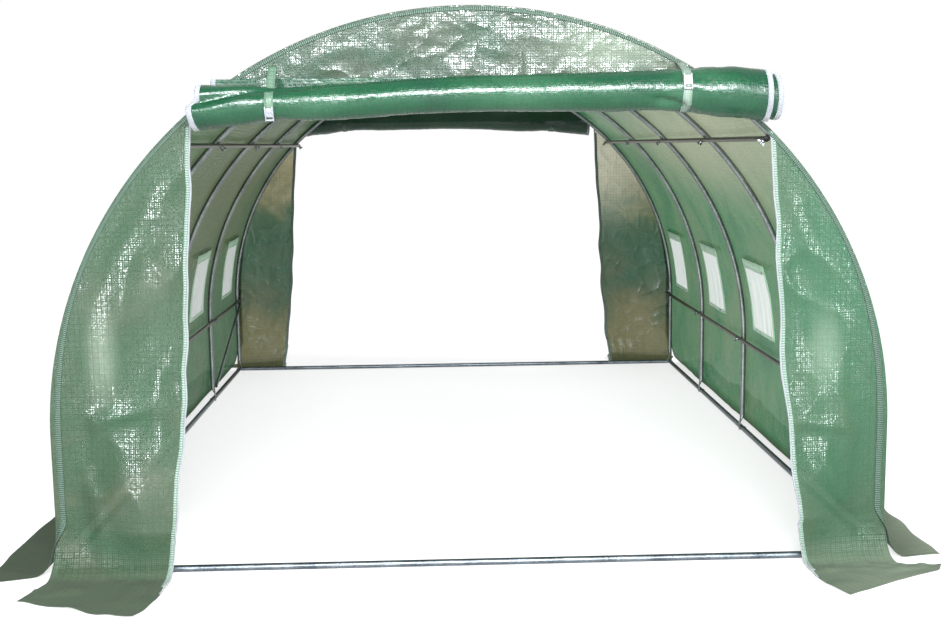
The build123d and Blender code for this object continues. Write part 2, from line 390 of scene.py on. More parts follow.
def film_dullness(node, place, shine, speckle, marks):
    """Roughness of the film: its shine, dull specks, and marks as (pattern, strength)."""
    specks = node("TexNoise", {"Vector": place, "Scale": 1 / 0.009, "Detail": 1.0})
    specks = {"Value": specks, "From Min": 0.47, "From Max": 0.60, "To Max": speckle}
    dull = node("MapRange", specks, interpolation_type="SMOOTHSTEP")
    dull = node("Math", {0: dull, 1: shine}, operation="ADD")
    for pattern, strength in marks:
        dull = node("Math", {0: pattern, 1: strength, 2: dull}, operation="MULTIPLY_ADD")
    return dull


def woven_film(
    name,
    greens,
    glow,
    see_through,
    shine,
    gloss,
    dents,
    crumples,
    crackling=0.00022,
    wrinkles=0.0,
    drift=0.0,
    soil=0.75,
    speckle=0.35,
    threads=0.27,
    patches=(),
):
    """Woven polyethylene: flat tapes woven into cloth and coated with clear film.

    It gives the eye a fine weave with a coarser reinforcing grid, a hard wet gloss broken
    up by dents, crumples, crackles, wrinkles, dull specks and dull threads, patches of other
    colour, and daylight glowing through from the far side.

    Dents, crumples, crackling and wrinkles are depths in metres.  Shine is the roughness of
    the clean film, and speckle, threads and soil are what specks, threads and soil add to it;
    soil also darkens the colour near the ground, as soil and painted shade.  Drift is how far
    the colours follow the height, which on the shaded back end paints light at the top.
    Patches lists places, their reach along each axis, their tints and how strong they are;
    most are painted light, painted shade or a painted sheen.
    """
    material, node = new_material(name)
    coordinates = node("TexCoord")
    place = coordinates.outputs["Object"]
    height = node("SeparateXYZ", {0: place}).outputs["Z"]
    low = node("Math", {0: height, 1: -9.0, 2: 1.0}, operation="MULTIPLY_ADD")
    low = node("Math", {0: low, 1: 0.0}, operation="MAXIMUM")  # 1 on the ground, 0 from 0.11 m
    weave, ribs = woven_ribs(node, coordinates.outputs["UV"])
    cloudy = {"Vector": place, "Scale": 1 / 0.03, "Detail": 3.0, "Roughness": 0.6}
    cloudy = node("TexNoise", cloudy)
    body = film_tint(node, place, height, low, greens, drift, soil, patches)
    shade = node("Math", {0: cloudy, 1: 0.30, 2: 0.88}, operation="MULTIPLY_ADD")
    worn = node("Math", {0: ribs, 1: -0.29, 2: 1.15}, operation="MULTIPLY_ADD")
    tone = node("Math", {0: shade, 1: worn}, operation="MULTIPLY")
    body = node("VectorMath", {0: body, "Scale": tone}, operation="SCALE")
    normal = film_relief(node, place, ribs, dents, wrinkles, crumples, crackling)
    marks = ((cloudy, 0.08), (ribs, threads), (low, soil))
    dull = film_dullness(node, place, shine, speckle, marks)
    coating = {"Base Color": body, "Roughness": dull, "IOR": 1.51, "Specular IOR Level": gloss}
    coated = node("BsdfPrincipled", coating | {"Normal": normal})
    lit = node("BsdfTranslucent", {"Color": body, "Normal": normal})
    both = node("MixShader", {"Fac": glow, 1: coated, 2: lit})
    clear = node("BsdfTransparent", {"Color": colour("#dfeadd")})
    open_weave = node("Math", {0: 1.5, 1: weave}, operation="SUBTRACT")
    gap = node("Math", {0: open_weave, 1: see_through}, operation="MULTIPLY")
    mixed = node("MixShader", {"Fac": gap, 1: both, 2: clear})
    node("OutputMaterial", {"Surface": mixed})
    return material


def sewn_tape(name, cloth, thread, axis, pitch, share=(0.35, 0.65), fuzz=0.3):
    """Polyester tape sewn on the film: matt woven cloth with a row of stitches across it.

    Axis is the direction of the row on the flat sheet, 0 across and 1 along; pitch is from
    stitch to stitch in metres, and share is where a stitch's edge starts and ends.
    """
    material, node = new_material(name)
    coordinates = node("TexCoord")
    place = coordinates.outputs["Object"]
    axes = node("SeparateXYZ", {0: coordinates.outputs["UV"]})
    stitches = stripes(node, axes.outputs[axis], pitch, *share)
    soil = node("TexNoise", {"Vector": place, "Scale": 1 / 0.05, "Detail": 3.0})
    base = node("ValToRGB", {0: stitches}, tones((0.0, cloth), (1.0, thread)))
    shade = node("Math", {0: soil, 1: 0.25, 2: 0.84}, operation="MULTIPLY_ADD")
    base = node("VectorMath", {0: base, "Scale": shade}, operation="SCALE")
    fibre = node("TexNoise", {"Vector": place, "Scale": 1 / 0.0015, "Detail": 2.0})
    fuzzy = node("Bump", {"Height": fibre, "Distance": 0.0002, "Strength": 1.0})
    sewn = {"Height": stitches, "Distance": 0.0006, "Strength": 1.0, "Normal": fuzzy}
    matt = {"Roughness": 0.62, "Sheen Weight": fuzz, "Specular IOR Level": 0.3}
    tape = node("BsdfPrincipled", {"Base Color": base, "Normal": node("Bump", sewn), **matt})
    node("OutputMaterial", {"Surface": tape})
    return material


def fine_net(name):
    """Knitted polyethylene insect net: whitish threads with open air between them.

    The mesh is drawn 5 mm wide, four times its real size, so that it shows.
    """
    material, node = new_material(name)
    flat = node("TexCoord").outputs["UV"]
    axes = node("SeparateXYZ", {0: flat})
    threads = [stripes(node, axes.outputs[k], NET_PITCH, 0.25, 0.7) for k in (0, 1)]
    knit = node("Math", {0: threads[0], 1: threads[1]}, operation="MAXIMUM")
    streaks = node("Mapping", {"Vector": flat, "Scale": (3.0, 45.0, 1.0)})  # they run upright
    drop = node("TexNoise", {"Vector": streaks, "Scale": 1.0, "Detail": 3.0})
    base = node("ValToRGB", {0: drop}, tones((0.3, "#8f9b95"), (0.62, "#bac1bc")))
    raised = node("Bump", {"Height": knit, "Distance": 0.0006, "Strength": 1.0})
    thread = node("BsdfPrincipled", {"Base Color": base, "Roughness": 0.55, "Normal": raised})
    glow = node("BsdfTranslucent", {"Color": base})
    lit = node("MixShader", {"Fac": 0.5, 1: thread, 2: glow})
    cover = node("Math", {0: knit, 1: 0.45, 2: 0.42}, operation="MULTIPLY_ADD")
    mixed = node("MixShader", {"Fac": cover, 1: node("BsdfTransparent"), 2: lit})
    node("OutputMaterial", {"Surface": mixed})
    return material


def zinc_coated_steel(name, light, dark, roughness):
    """Hot-dip galvanised steel tube: grey zinc with faint spangle, dulled in patches."""
    material, node = new_material(name)
    place = node("TexCoord").outputs["Object"]
    spangle = node("TexVoronoi", {"Vector": place, "Scale": 1 / 0.009}, feature="F1")
    bloom = {"Vector": place, "Scale": 1 / 0.12, "Detail": 4.0, "Roughness": 0.6}
    bloom = node("TexNoise", bloom)
    mix = node("Math", {0: spangle, 1: 0.3, 2: bloom}, operation="MULTIPLY_ADD")
    base = node("ValToRGB", {0: mix}, tones((0.42, dark), (0.85, light)))
    rough = node("Math", {0: bloom, 1: 0.25, 2: roughness}, operation="MULTIPLY_ADD")
    grain = node("TexNoise", {"Vector": place, "Scale": 1 / 0.003, "Detail": 2.0})
    pitted = node("Bump", {"Height": grain, "Distance": 0.00025, "Strength": 1.0})
    zinc = {"Base Color": base, "Metallic": 1.0, "Roughness": rough, "Normal": pitted}
    node("OutputMaterial", {"Surface": node("BsdfPrincipled", zinc)})
    return material


def moulded_plastic(name, base, roughness, gloss=0.5):
    """Injection-moulded plastic: even colour, faint flow marks, a soft sheen."""
    material, node = new_material(name)
    place = node("TexCoord").outputs["Object"]
    flow = node("TexNoise", {"Vector": place, "Scale": 1 / 0.02, "Detail": 3.0})
    shade = node("Math", {0: flow, 1: 0.25, 2: 0.86}, operation="MULTIPLY_ADD")
    tint = node("VectorMath", {0: colour(base)[:3], "Scale": shade}, operation="SCALE")
    rough = node("Math", {0: flow, 1: 0.2, 2: roughness}, operation="MULTIPLY_ADD")
    grain = node("TexNoise", {"Vector": place, "Scale": 1 / 0.0012, "Detail": 2.0})
    grained = node("Bump", {"Height": grain, "Distance": 0.0001, "Strength": 1.0})
    polish = {"Roughness": rough, "IOR": 1.49, "Specular IOR Level": gloss}
    nylon = node("BsdfPrincipled", {"Base Color": tint, "Normal": grained, **polish})
    node("OutputMaterial", {"Surface": nylon})
    return material


# Tint near the ground: soil and painted shade.
SOIL_AND_SHADE_FILM = colour("#2c3a26")
# Painted shade: darker olive for the side the light doesn't reach.
PAINTED_SHADE_OLIVE = colour("#4c5022")
# Painted light: beige where daylight shines through the film.
PAINTED_LIGHT_BEIGE = colour("#a29a86")
# Painted light: pale where light shines through or glances off the film.
PAINTED_LIGHT_FILM = colour("#8b9482")
# Painted light: the bright top of a sheet lit through from above.
PAINTED_LIGHT_BRIGHT = colour("#dcd9c8")
FRESH_FILM = colour("#17573a")
COVER_FILM = woven_film(
    "woven_polyethylene_cover",
    tones((0.36, "#265a3a"), (0.50, "#326440"), (0.64, "#496848")),
    glow=0.52,
    see_through=0.055,
    shine=0.10,
    gloss=0.5,
    dents=0.0020,
    crumples=0.0006,
    wrinkles=0.0015,
    soil=1.0,
    patches=[
        # painted light: the right of the roof pale beige, as if lit through
        ((1.20, -0.9, 1.60), (0.8, 3.4, 0.55), PAINTED_LIGHT_BEIGE, 0.6),
        # painted shade: the whole left side darker olive
        ((-1.4, 0.3, 1.50), (1.3, 3.8, 1.4), PAINTED_SHADE_OLIVE, 0.85),
        # painted light: the front of the right side skirt paler
        ((1.85, -1.9, 0.0), (0.4, 1.2, 0.3), PAINTED_LIGHT_FILM, 0.6),
    ],
)
END_FILM = woven_film(
    "woven_polyethylene_end_sheets",
    tones((0.34, "#183a20"), (0.50, "#223922"), (0.66, "#37402b")),
    glow=0.31,
    see_through=0.045,
    shine=0.05,
    gloss=0.6,
    dents=0.0020,
    crumples=0.0004,
    crackling=0.00020,
    speckle=0.28,
    threads=0.50,
    patches=[
        # painted light: pale light shining through each doorway curtain, and on the right skirt
        ((-1.30, -2.0, 0.80), (0.08, 0.6, 0.24), PAINTED_LIGHT_FILM, 0.28),
        ((1.265, -2.0, 0.78), (0.09, 0.6, 0.21), PAINTED_LIGHT_FILM, 0.36),
        ((1.50, -2.3, 0.0), (0.6, 0.6, 0.12), PAINTED_LIGHT_FILM, 0.28),
        ((1.30, -2.0, 1.0), (0.6, 0.6, 1.5), FRESH_FILM, 0.45),
    ],
)
GABLE_FILM = woven_film(
    "woven_polyethylene_gable",
    tones((0.34, "#1d3a28"), (0.50, "#2a3a2a"), (0.66, "#394333")),
    glow=0.34,
    see_through=0.05,
    shine=0.09,
    gloss=0.65,
    dents=0.0030,
    crumples=0.0006,
    crackling=0.0004,
    wrinkles=0.0040,
    speckle=0.25,
    threads=0.40,
    # painted sheen: a pale patch on the right of the gable
    patches=[((0.50, -2.0, 1.84), (0.36, 0.6, 0.16), PAINTED_LIGHT_FILM, 0.38)],
)
BACK_FILM = woven_film(
    "woven_polyethylene_shaded_end",
    # by height: olive-brown at the foot, dark green as painted shade, pale beige at the top as
    # painted light from above
    tones(
        (0.30, "#67643e"),
        (0.38, "#3d5236"),
        (0.46, "#1b4f33"),
        (0.55, "#335636"),
        (0.63, "#8a8460"),
        (0.72, "#b6ab8c"),
    ),
    glow=0.48,
    see_through=0.045,
    shine=0.05,
    gloss=0.6,
    dents=0.0030,
    crumples=0.0006,
    wrinkles=0.0080,
    drift=0.62,
    # painted light: the top of the right-hand sheet glows pale
    patches=[((0.95, 2.0, 1.45), (0.6, 1.0, 0.65), PAINTED_LIGHT_BRIGHT, 0.7)],
)
# Darker copy of the gable film: painted shade on the back gable.
SHADED_GABLE_FILM = woven_film(
    "woven_polyethylene_back_gable_in_shade",
    tones((0.36, "#0b3a1f"), (0.50, "#153f28"), (0.64, "#23432e")),
    glow=0.25,
    see_through=0.02,
    shine=0.08,
    gloss=0.3,
    dents=0.0030,
    crumples=0.0006,
)
ROLL_FILM = woven_film(
    "woven_polyethylene_rolled_layers",
    tones((0.36, "#052e1c"), (0.50, "#09351f"), (0.62, "#193e29")),
    glow=0.04,
    see_through=0.0,
    shine=0.08,
    gloss=0.40,
    dents=0.0022,
    crumples=0.0009,
    crackling=0.00025,
    speckle=0.15,
    threads=0.20,
)
FLAP_FILM = woven_film(
    "woven_polyethylene_flaps",
    tones((0.36, "#3c7a55"), (0.50, "#5a8a62"), (0.64, "#8a9a76")),
    glow=0.60,
    see_through=0.20,
    shine=0.12,
    gloss=0.5,
    dents=0.0020,
    crumples=0.0008,
)
STRAP_FILM = woven_film(
    "woven_film_strap",
    tones((0.36, "#55735f"), (0.50, "#6b8272"), (0.62, "#86938a")),
    glow=0.30,
    see_through=0.30,
    shine=0.06,
    gloss=0.6,
    dents=0.0080,
    crumples=0.0030,
)
WHITE_TAPE = sewn_tape("white_polyester_tape", "#77787d", "#686b6e", axis=1, pitch=0.004)
ZIP_TAPE = sewn_tape(
    "nylon_zip_ladder", "#2b4d39", "#8f9892", axis=1, pitch=0.0058, share=(0.45, 0.8), fuzz=0.1
)
# Near-black cloth: painted shade on the film's edge where it turns over the end hoops; the
# stitches are real.
SEAM_TAPE_IN_SHADE = sewn_tape(
    "stitched_seam_painted_shade", "#12281b", "#4f6055", axis=0, pitch=0.0070, share=(0.45, 0.85), fuzz=0.0
)
# Whitish green like the real doubled hem, lightened further as painted light so the rolled flap's
# shadow doesn't show.
LIGHTENED_HEM_FILM = sewn_tape(
    "doubled_film_hem_painted_light", "#84ab8a", "#9dbba2", axis=1, pitch=0.006, share=(0.6, 0.9)
)
NET = fine_net("polyethylene_insect_net")
STEEL = zinc_coated_steel("galvanised_steel_tube", "#8d9090", "#5f6464", roughness=0.32)
# Darker steel on the base rails, which the lamps light most: painted shade.
RAIL_STEEL = zinc_coated_steel("galvanised_steel_rail", "#767d83", "#4a5056", roughness=0.28)
# Darker, browner steel on the purlins: painted shade.
PURLIN_STEEL = zinc_coated_steel("steel_tube_painted_shade", "#6d6862", "#423d38", roughness=0.30)
BOLT_ZINC = zinc_coated_steel("zinc_plated_bolts", "#84898c", "#6b7073", roughness=0.25)
WHITE_PLASTIC = moulded_plastic("white_nylon_buckle", "#7d7f84", roughness=0.35)
BLACK_PLASTIC = moulded_plastic("black_polyethylene_plug", "#040404", roughness=0.35, gloss=0.12)


# ---- The long cover -----------------------------------------------------
ARCH_STEPS, LEG_STEPS, FLARE_STEPS = 91, 9, 25  # points along each part of the section


def section_line():
    """Right half of the cover's section from the crown to the edge of its skirt.

    Gives the length to each point, the points, and the film's outward directions there.
    """
    arch = [
        (FILM_RADIUS * sin(a), LEG_HEIGHT + FILM_RADIUS * cos(a))
        for a in np.linspace(0, pi / 2, ARCH_STEPS)
    ]
    leg = [(FILM_RADIUS, z) for z in np.linspace(LEG_HEIGHT, FLARE_TOP, LEG_STEPS)[1:]]
    pulls_out = [FILM_RADIUS + reach for reach in (0, 0.004, 0.022, 0.090)]
    flare = [
        (soft_bend(pulls_out, t), soft_bend(FLARE_HEIGHTS, t))
        for t in np.linspace(0, 1, FLARE_STEPS)[1:]
    ]
    skirt = [(SKIRT_REACH, FILM_GROUND)]
    points = np.array(arch + leg + flare + skirt)
    steps = np.hypot(*np.diff(points, axis=0).T)
    lengths = np.concatenate([[0], np.cumsum(steps)])
    tangents = np.gradient(points, lengths, axis=0)
    normals = np.stack([-tangents[:, 1], tangents[:, 0]], axis=1)
    normals /= np.hypot(*normals.T)[:, None]
    return lengths, points, normals


SECTION_LENGTHS, SECTION_POINTS, SECTION_NORMALS = section_line()
HALF_SECTION = SECTION_LENGTHS[-1]
ARCH_LENGTH = FILM_RADIUS * pi / 2
FLARE_START = ARCH_LENGTH + LEG_HEIGHT - FLARE_TOP
SKIRT_START = FLARE_START + 0.19  # where the flare has come down to the ground
WRAP_LENGTH = WRAP_RADIUS * pi / 2
COVER_END = END_HOOP + WRAP_LENGTH + HEM
WINDOW_FOOT, WINDOW_HEAD = (
    FILM_RADIUS * (pi / 2 - asin((z - LEG_HEIGHT) / COVER_RADIUS))
    for z in (net_low.z, net_high.z)
)
WINDOW_PLACES = [
    (near + far) / 2 + WINDOW_SHIFT for near, far in zip(HOOP_PLACES, HOOP_PLACES[1:])
]


def leg_lap(z):
    """How much further the cover's hem reaches over the end sheet beside the legs."""
    return 0.022 * (1 - smooth(z, 0.5, 1.2))


def bay_slack(around, along, on_skirt):
    """How far the film stands off its section line between two hoops: it sags and creases."""
    slack = sin(pi * (abs(along) / BAY % 1))
    on_arch = 1 - 0.6 * smooth(abs(around), ARCH_LENGTH - 0.3, FLARE_START)
    folds = crease(around * 0.5, along * 1.5, size=0.16, seed=3.1) - 0.35
    folds += 0.5 * crease(around * 0.3 + along * 0.3, along, size=0.10, seed=7.7)
    return slack * (FILM_CREASE * folds * (1 - on_skirt) - SAG * slack * on_arch)


def hem_turn(along, z):
    """How far the film runs on past an end hoop, and how far it drops as it turns over it."""
    past = max(0.0, abs(along) - END_HOOP)
    past += leg_lap(z) * smooth(past, HEM_STITCH, HEM_BEND)
    turn = min(past, WRAP_LENGTH) / WRAP_RADIUS
    wrapped = smooth(z, 0.10, 0.20)  # near the ground the film runs out flat instead
    drop = WRAP_RADIUS * (1 - cos(turn)) + max(0.0, past - WRAP_LENGTH)
    run = (HEM_FACE - END_HOOP) * sin(turn) * wrapped + 0.6 * past * (1 - wrapped)
    return run, wrapped * drop


def skirt_lie(around, along, side):
    """How the edge of a side skirt lies: stretched along, ragged inwards, and humped."""
    opens = (side > 0) == (along > 0)  # the skirt flares at two corners, draws in at two
    stretch = (0.022 if opens else -0.014) * smooth(abs(along), 1.0, END_HOOP)
    ragged = 0.035 * swell(side * 4.0, along, size=0.9, seed=2.2)
    ragged += 0.012 * swell(side, along, size=0.2, seed=9.0)
    hump = 0.010 * max(0.0, swell(around * 0.6, along, size=0.22, seed=1.7))
    return stretch, 0.035 - ragged, hump


def cover_place(around, along, lift=0.0):
    """Where a point of the long cover hangs.

    around runs from the crown over the section, along from the middle hoop, and lift
    is outwards from the film.
    """
    side = 1 if around >= 0 else -1
    reach = abs(around)
    x, z, out_x, out_z = (
        float(np.interp(reach, SECTION_LENGTHS, column))
        for column in (*SECTION_POINTS.T, *SECTION_NORMALS.T)
    )
    if abs(along) < END_HOOP:
        on_skirt = smooth(reach, FLARE_START, SKIRT_START)
        lift += bay_slack(around, along, on_skirt)
        ripple = max(0.0, swell(around, along, size=0.17, seed=5.5))
        lift += on_skirt * SKIRT_RIPPLE * ripple
    run, drop = hem_turn(along, z)
    lift -= drop
    y = (min(abs(along), END_HOOP) + run) * (1 if along >= 0 else -1)
    spread = smooth(reach, SKIRT_START - 0.05, HALF_SECTION)
    stretch, drawn_in, hump = skirt_lie(around, along, side)
    y *= 1 + spread * stretch
    x -= spread * drawn_in
    z += spread * hump
    return Vector((side * (x + out_x * lift), y, max(FILM_LOWEST, z + out_z * lift)))


def in_window(around, along):
    """True on the flat cover inside one of its windows."""
    if not WINDOW_HEAD < abs(around) < WINDOW_FOOT:
        return False
    return any(abs(along - place) < WINDOW_WIDTH / 2 for place in WINDOW_PLACES)


def add_cover():
    """One long sheet over the hoops, with its windows cut out and its ends hemmed."""
    half = [0, WINDOW_HEAD, WINDOW_FOOT, ARCH_LENGTH, FLARE_START, SKIRT_START, HALF_SECTION]
    across = filled([-s for s in reversed(half)] + half[1:], FINE)
    half_width = WINDOW_WIDTH / 2
    edges = [place + k * half_width for place in WINDOW_PLACES for k in (-1, 1)]
    stitched = END_HOOP + HEM_STITCH
    ends = [END_HOOP, stitched, END_HOOP + HEM_BEND, END_HOOP + WRAP_LENGTH]
    ends += [END_HOOP + WRAP_LENGTH + HEM / 2, COVER_END]
    along = [-y for y in reversed(ends[1:])]
    along += filled(sorted([-END_HOOP, *edges, END_HOOP]), FINE) + ends[1:]
    cover = add_sheet("tunnel_cover", across, along, lambda a, b: (cover_place(a, b), (a, b)))
    cut_out(cover, in_window)
    hems = [
        edge_strip(
            cover,
            f"{name}_arch_seam",
            lambda a, b: end * b > stitched and abs(a) < SKIRT_START - 0.04,
            SEAM_THICKNESS,
            SEAM_TAPE_IN_SHADE,
        )
        for name, end in (("front", -1), ("back", 1))
    ]
    nodes = ["cover_left", "cover_roof", "cover_right", "side_skirt_left", "side_skirt_right"]
    finish_piece(cover, COVER_FILM, nodes)


# ---- Windows ------------------------------------------------------------
NET_LIFT = -0.0016  # the net lies behind the film
HEM_LIFT = -0.0004  # the doubled hem takes in the film and the net
HEM_THICKNESS = 0.0042
FLAP_TURNS = 4.0
FLAP_CORE = 0.005  # radius of the hollow inside the roll
FLAP_STEM = 0.022  # from the window's edge to the foot of the roll
FLAP_MARGIN = 0.022  # the flap is wider than its window
FLAP_GAP = 0.0012  # between the flap and the cover
FLAP_TIE_SHIFT = 0.12  # each tie's distance from the middle
FLAP_TIE_HALF = 0.007  # half its width
FLAP_TIE_LENGTH = 0.11
FLAP_TIE_STEPS = 28


def add_window(side, number, place):
    """Net, hem and rolled-up flap of one window."""
    hand = "right" if side > 0 else "left"
    name = f"window_{hand}_{number}"
    low, high = sorted((side * WINDOW_HEAD, side * WINDOW_FOOT))
    near, far = place - WINDOW_WIDTH / 2, place + WINDOW_WIDTH / 2
    # The wide hem at the head lies over the flap roll's shadow as painted light.
    lap, band, head_band = 0.012, 0.016, 0.046  # beyond the opening: net, hem, hem at the head
    lower_band, upper_band = (head_band, band) if side > 0 else (band, head_band)
    net = add_sheet(
        f"{name}_net",
        filled([low - lap, high + lap], WINDOW_STEP),
        filled([near - lap, far + lap], WINDOW_STEP),
        lambda a, b: (cover_place(a, b, NET_LIFT), (a, b)),
    )
    finish_piece(net, NET, [f"window_nets_{hand}"])
    edge = 0.002  # the hem reaches this far into the opening
    hem = add_sheet(
        f"{name}_hem",
        filled([low - lower_band, low + edge, high - edge, high + upper_band], WINDOW_STEP),
        filled([near - band, near + edge, far - edge, far + band], WINDOW_STEP),
        lambda a, b: (cover_place(a, b, HEM_LIFT), (a, b)),
    )
    cut_out(hem, lambda a, b: low + edge < a < high - edge and near + edge < b < far - edge)
    thicken(hem, HEM_THICKNESS)
    finish_piece(hem, LIGHTENED_HEM_FILM)
    add_flap(side, hand, name, place)


def flap_point(side, outward, upward, place):
    """Point beside a window's upper edge, outwards from and upwards along the film."""
    around = side * (WINDOW_HEAD - upward)
    return cover_place(around, place, outward)


def add_flap_tie(side, name, place, centre, stem):
    """Short strap looped round a rolled flap."""
    def loop_place(a, b):
        turn = b * tau
        radius = FLAP_ROLL + 0.0006  # the strap lies on the film
        outward = max(0.0008, centre - radius * cos(turn))
        point = flap_point(side, outward, stem + radius * sin(turn), place + a)
        return point, (a, b * FLAP_TIE_LENGTH)

    round_flap = [k / FLAP_TIE_STEPS for k in range(FLAP_TIE_STEPS + 1)]
    tie = add_sheet(name, [-FLAP_TIE_HALF, 0, FLAP_TIE_HALF], round_flap, loop_place)
    thicken(tie, FLAP_TIE_THICKNESS)
    return finish_piece(tie, STRAP_FILM)


def add_flap(side, hand, name, place):
    """The window's film flap, rolled up on the outside and tied twice."""
    stem = FLAP_STEM + FLAP_ROLL
    half = WINDOW_WIDTH / 2 + FLAP_MARGIN
    centre = FLAP_ROLL + FLAP_GAP
    unrolled = FLAP_TURNS * tau * (FLAP_ROLL + FLAP_CORE) / 2
    shifts = (-FLAP_TIE_SHIFT, FLAP_TIE_SHIFT)

    def roll_place(a, b):
        along = place + a
        if b <= stem:
            return flap_point(side, FLAP_GAP, b, along), (a, b)
        share = (b - stem) / unrolled
        radius = FLAP_ROLL - (FLAP_ROLL - FLAP_CORE) * share
        turn = FLAP_TURNS * tau * share
        slack = 1 + 0.10 * swell(along, turn * 0.4, size=0.12, seed=4.0 + side)
        slack *= 1 - 0.16 * sum(mound(a - shift, 0.018) for shift in shifts)  # tied there
        outward = max(0.0010, centre - radius * cos(turn) * slack)
        upward = stem + radius * slack * sin(turn)
        return flap_point(side, outward, upward, along), (a, b)

    flap = add_sheet(
        f"{name}_flap",
        filled([-half, half], 0.016),
        filled([0, stem, stem + unrolled], 0.0052),
        roll_place,
    )
    finish_piece(flap, FLAP_FILM, [f"window_flaps_{hand}"])
    ties = [
        add_flap_tie(side, f"{name}_tie_{number}", place + shift, centre, stem)
        for number, shift in enumerate(shifts, start=1)
    ]


# ---- End sheets ---------------------------------------------------------
# Each end has the same sheets, turned half a turn about the upright axis.
# The curtains' free edges lean outwards: (height, distance from the middle).
FREE_EDGES = {
    "left": [(0.0, 1.078), (0.19, 1.050), (0.59, 1.006), (0.99, 0.988), (1.62, 0.953)],
    "right": [(0.0, 1.184), (0.16, 1.155), (0.55, 1.115), (0.92, 1.091), (1.56, 1.046)],
}
# Edge of the skirt on the ground: (share from the free edge, distance from the middle,
# distance before the end hoop).
SKIRT_EDGES = {
    "left": [
        (0.0, 1.128, 0.440),
        (0.38, 1.274, 0.393),
        (0.8, 1.470, 0.305),
        (1.0, 1.562, 0.262),
    ],
    "right": [
        (0.0, 1.249, 0.385),
        (0.4, 1.405, 0.290),
        (0.85, 1.640, 0.172),
        (1.0, 1.672, 0.110),
    ],
}
# Long folds in the curtains: (x, z) at both ends, half width, depth outwards.
CURTAIN_FOLDS = {
    "left": [
        ((1.20, 1.34), (1.32, 0.98), 0.028, -0.008),
        ((1.10, 0.62), (1.36, 0.56), 0.030, 0.007),
        ((1.42, 0.50), (1.30, 0.06), 0.030, 0.008),
    ],
    "right": [
        ((1.10, 1.40), (1.22, 1.05), 0.030, 0.006),
        ((1.16, 0.52), (1.44, 0.48), 0.022, 0.006),
        ((1.22, 0.44), (1.40, 0.12), 0.035, 0.008),
    ],
}
# Places where a curtain bellies and turns its face outwards: (x, z), reach both ways.
CURTAIN_TURNS = {
    "left": [
        ((1.110, 1.30), (0.14, 0.26)),
        ((1.250, 1.17), (0.08, 0.10)),
        ((1.330, 0.88), (0.09, 0.17)),
        ((1.110, 0.83), (0.12, 0.08)),
        ((1.300, 0.34), (0.18, 0.14)),
        ((1.260, 0.12), (0.13, 0.16)),
    ],
    "right": [
        ((1.115, 1.15), (0.08, 0.25)),
        ((1.170, 0.75), (0.08, 0.14)),
        ((1.160, 0.36), (0.08, 0.10)),
        ((1.250, 0.14), (0.13, 0.10)),
    ],
}
TURN_SLOPE = 0.10  # how far such a place turns to the middle
LEAN_SLOPE = 0.10  # and the low ones upwards
# Long folds in the gable, given as the curtains' are.
GABLE_FOLDS = [
    ((-0.36, 1.93), (-0.12, 1.88), 0.020, 0.010),
    ((-0.74, 1.78), (-0.34, 1.86), 0.024, 0.009),
    ((0.10, 1.90), (0.52, 1.84), 0.030, 0.007),
    ((-0.55, 1.72), (-0.20, 1.79), 0.030, -0.007),
    ((0.30, 1.76), (0.80, 1.74), 0.030, 0.006),
]
GABLE_STEPS = 28  # rows of the gable's mesh
SHEET_EDGE = FILM_RADIUS - 0.0030  # the end sheets are sewn to the cover here
SHEET_BELLY = 0.065  # the foot of a curtain stands out by up to this
CURTAIN_LAP = 0.02  # its sewn edge is turned in
CURTAIN_BEND = 0.20  # length of its flare
CURTAIN_SKIRT = 0.34  # length of its skirt
FLARE_FORWARD = (0, 0.004, 0.020, 0.085)  # pulls on the flare's bend


def arch_reach(z):
    """Distance from the middle to the sewn edge of an end sheet at a height."""
    if z <= LEG_HEIGHT:
        return SHEET_EDGE
    return sqrt(max(0.0, SHEET_EDGE**2 - (z - LEG_HEIGHT) ** 2))


def edge_depth(x, z):
    """Distance in from the sewn edge."""
    return SHEET_EDGE - (hypot(x, z - LEG_HEIGHT) if z > LEG_HEIGHT else abs(x))


def fold_depth(x, z, folds):
    """Depth of the long folds at a point of an end sheet."""
    depth = 0
    for (x0, z0), (x1, z1), width, height in folds:
        run_x, run_z = x1 - x0, z1 - z0
        length = hypot(run_x, run_z)
        share = ((x - x0) * run_x + (z - z0) * run_z) / length**2
        aside = abs((x - x0) * run_z - (z - z0) * run_x) / length
        fade = smooth(share, -0.15, 0.25) * (1 - smooth(share, 0.75, 1.15))
        depth += height * fade * mound(aside, width)
    return depth


def turn_depth(x, z, hand):
    """Depth of the bellied places of a curtain."""
    depth = 0
    for (middle_x, middle_z), (reach_x, reach_z) in CURTAIN_TURNS[hand]:
        aside, above = middle_x - abs(x), z - middle_z
        lean = LEAN_SLOPE * (1 - smooth(middle_z, 0.4, 0.9))
        turned_face = TURN_SLOPE * aside - lean * above
        depth += turned_face * exp(-((aside / reach_x) ** 2) - (above / reach_z) ** 2)
    return depth


def sheet_depth(x, z, seed, folds=(), hand=None):
    """How far an end sheet stands out of its plane.  It can't press into the hoop behind."""
    inset = edge_depth(x, z)
    depth = 0.0045 * swell(x, z * 0.7, size=0.24, seed=seed)
    depth += 0.0020 * swell(x, z * 0.8, size=0.085, seed=seed + 7)
    depth += 0.004 * (crease(x, z * 0.6, size=0.13, seed=seed + 3) - 0.25)
    depth += fold_depth(x, z, folds)
    if hand:
        depth += turn_depth(x, z, hand)
    depth += SHEET_BELLY * (1 - smooth(z, FLARE_TOP, 0.9)) * smooth(inset, 0.03, 0.35)
    inset -= leg_lap(z)
    depth *= smooth(inset, 0.026, 0.15)  # flat where it is sewn to the hoop's film
    if depth < 0:
        depth *= smooth(inset, 0.05, 0.11)
    return depth


def turned(point, end):
    """Point of the front end, or the same point at the back end."""
    return point if end == "front" else Vector((-point.x, -point.y, point.z))


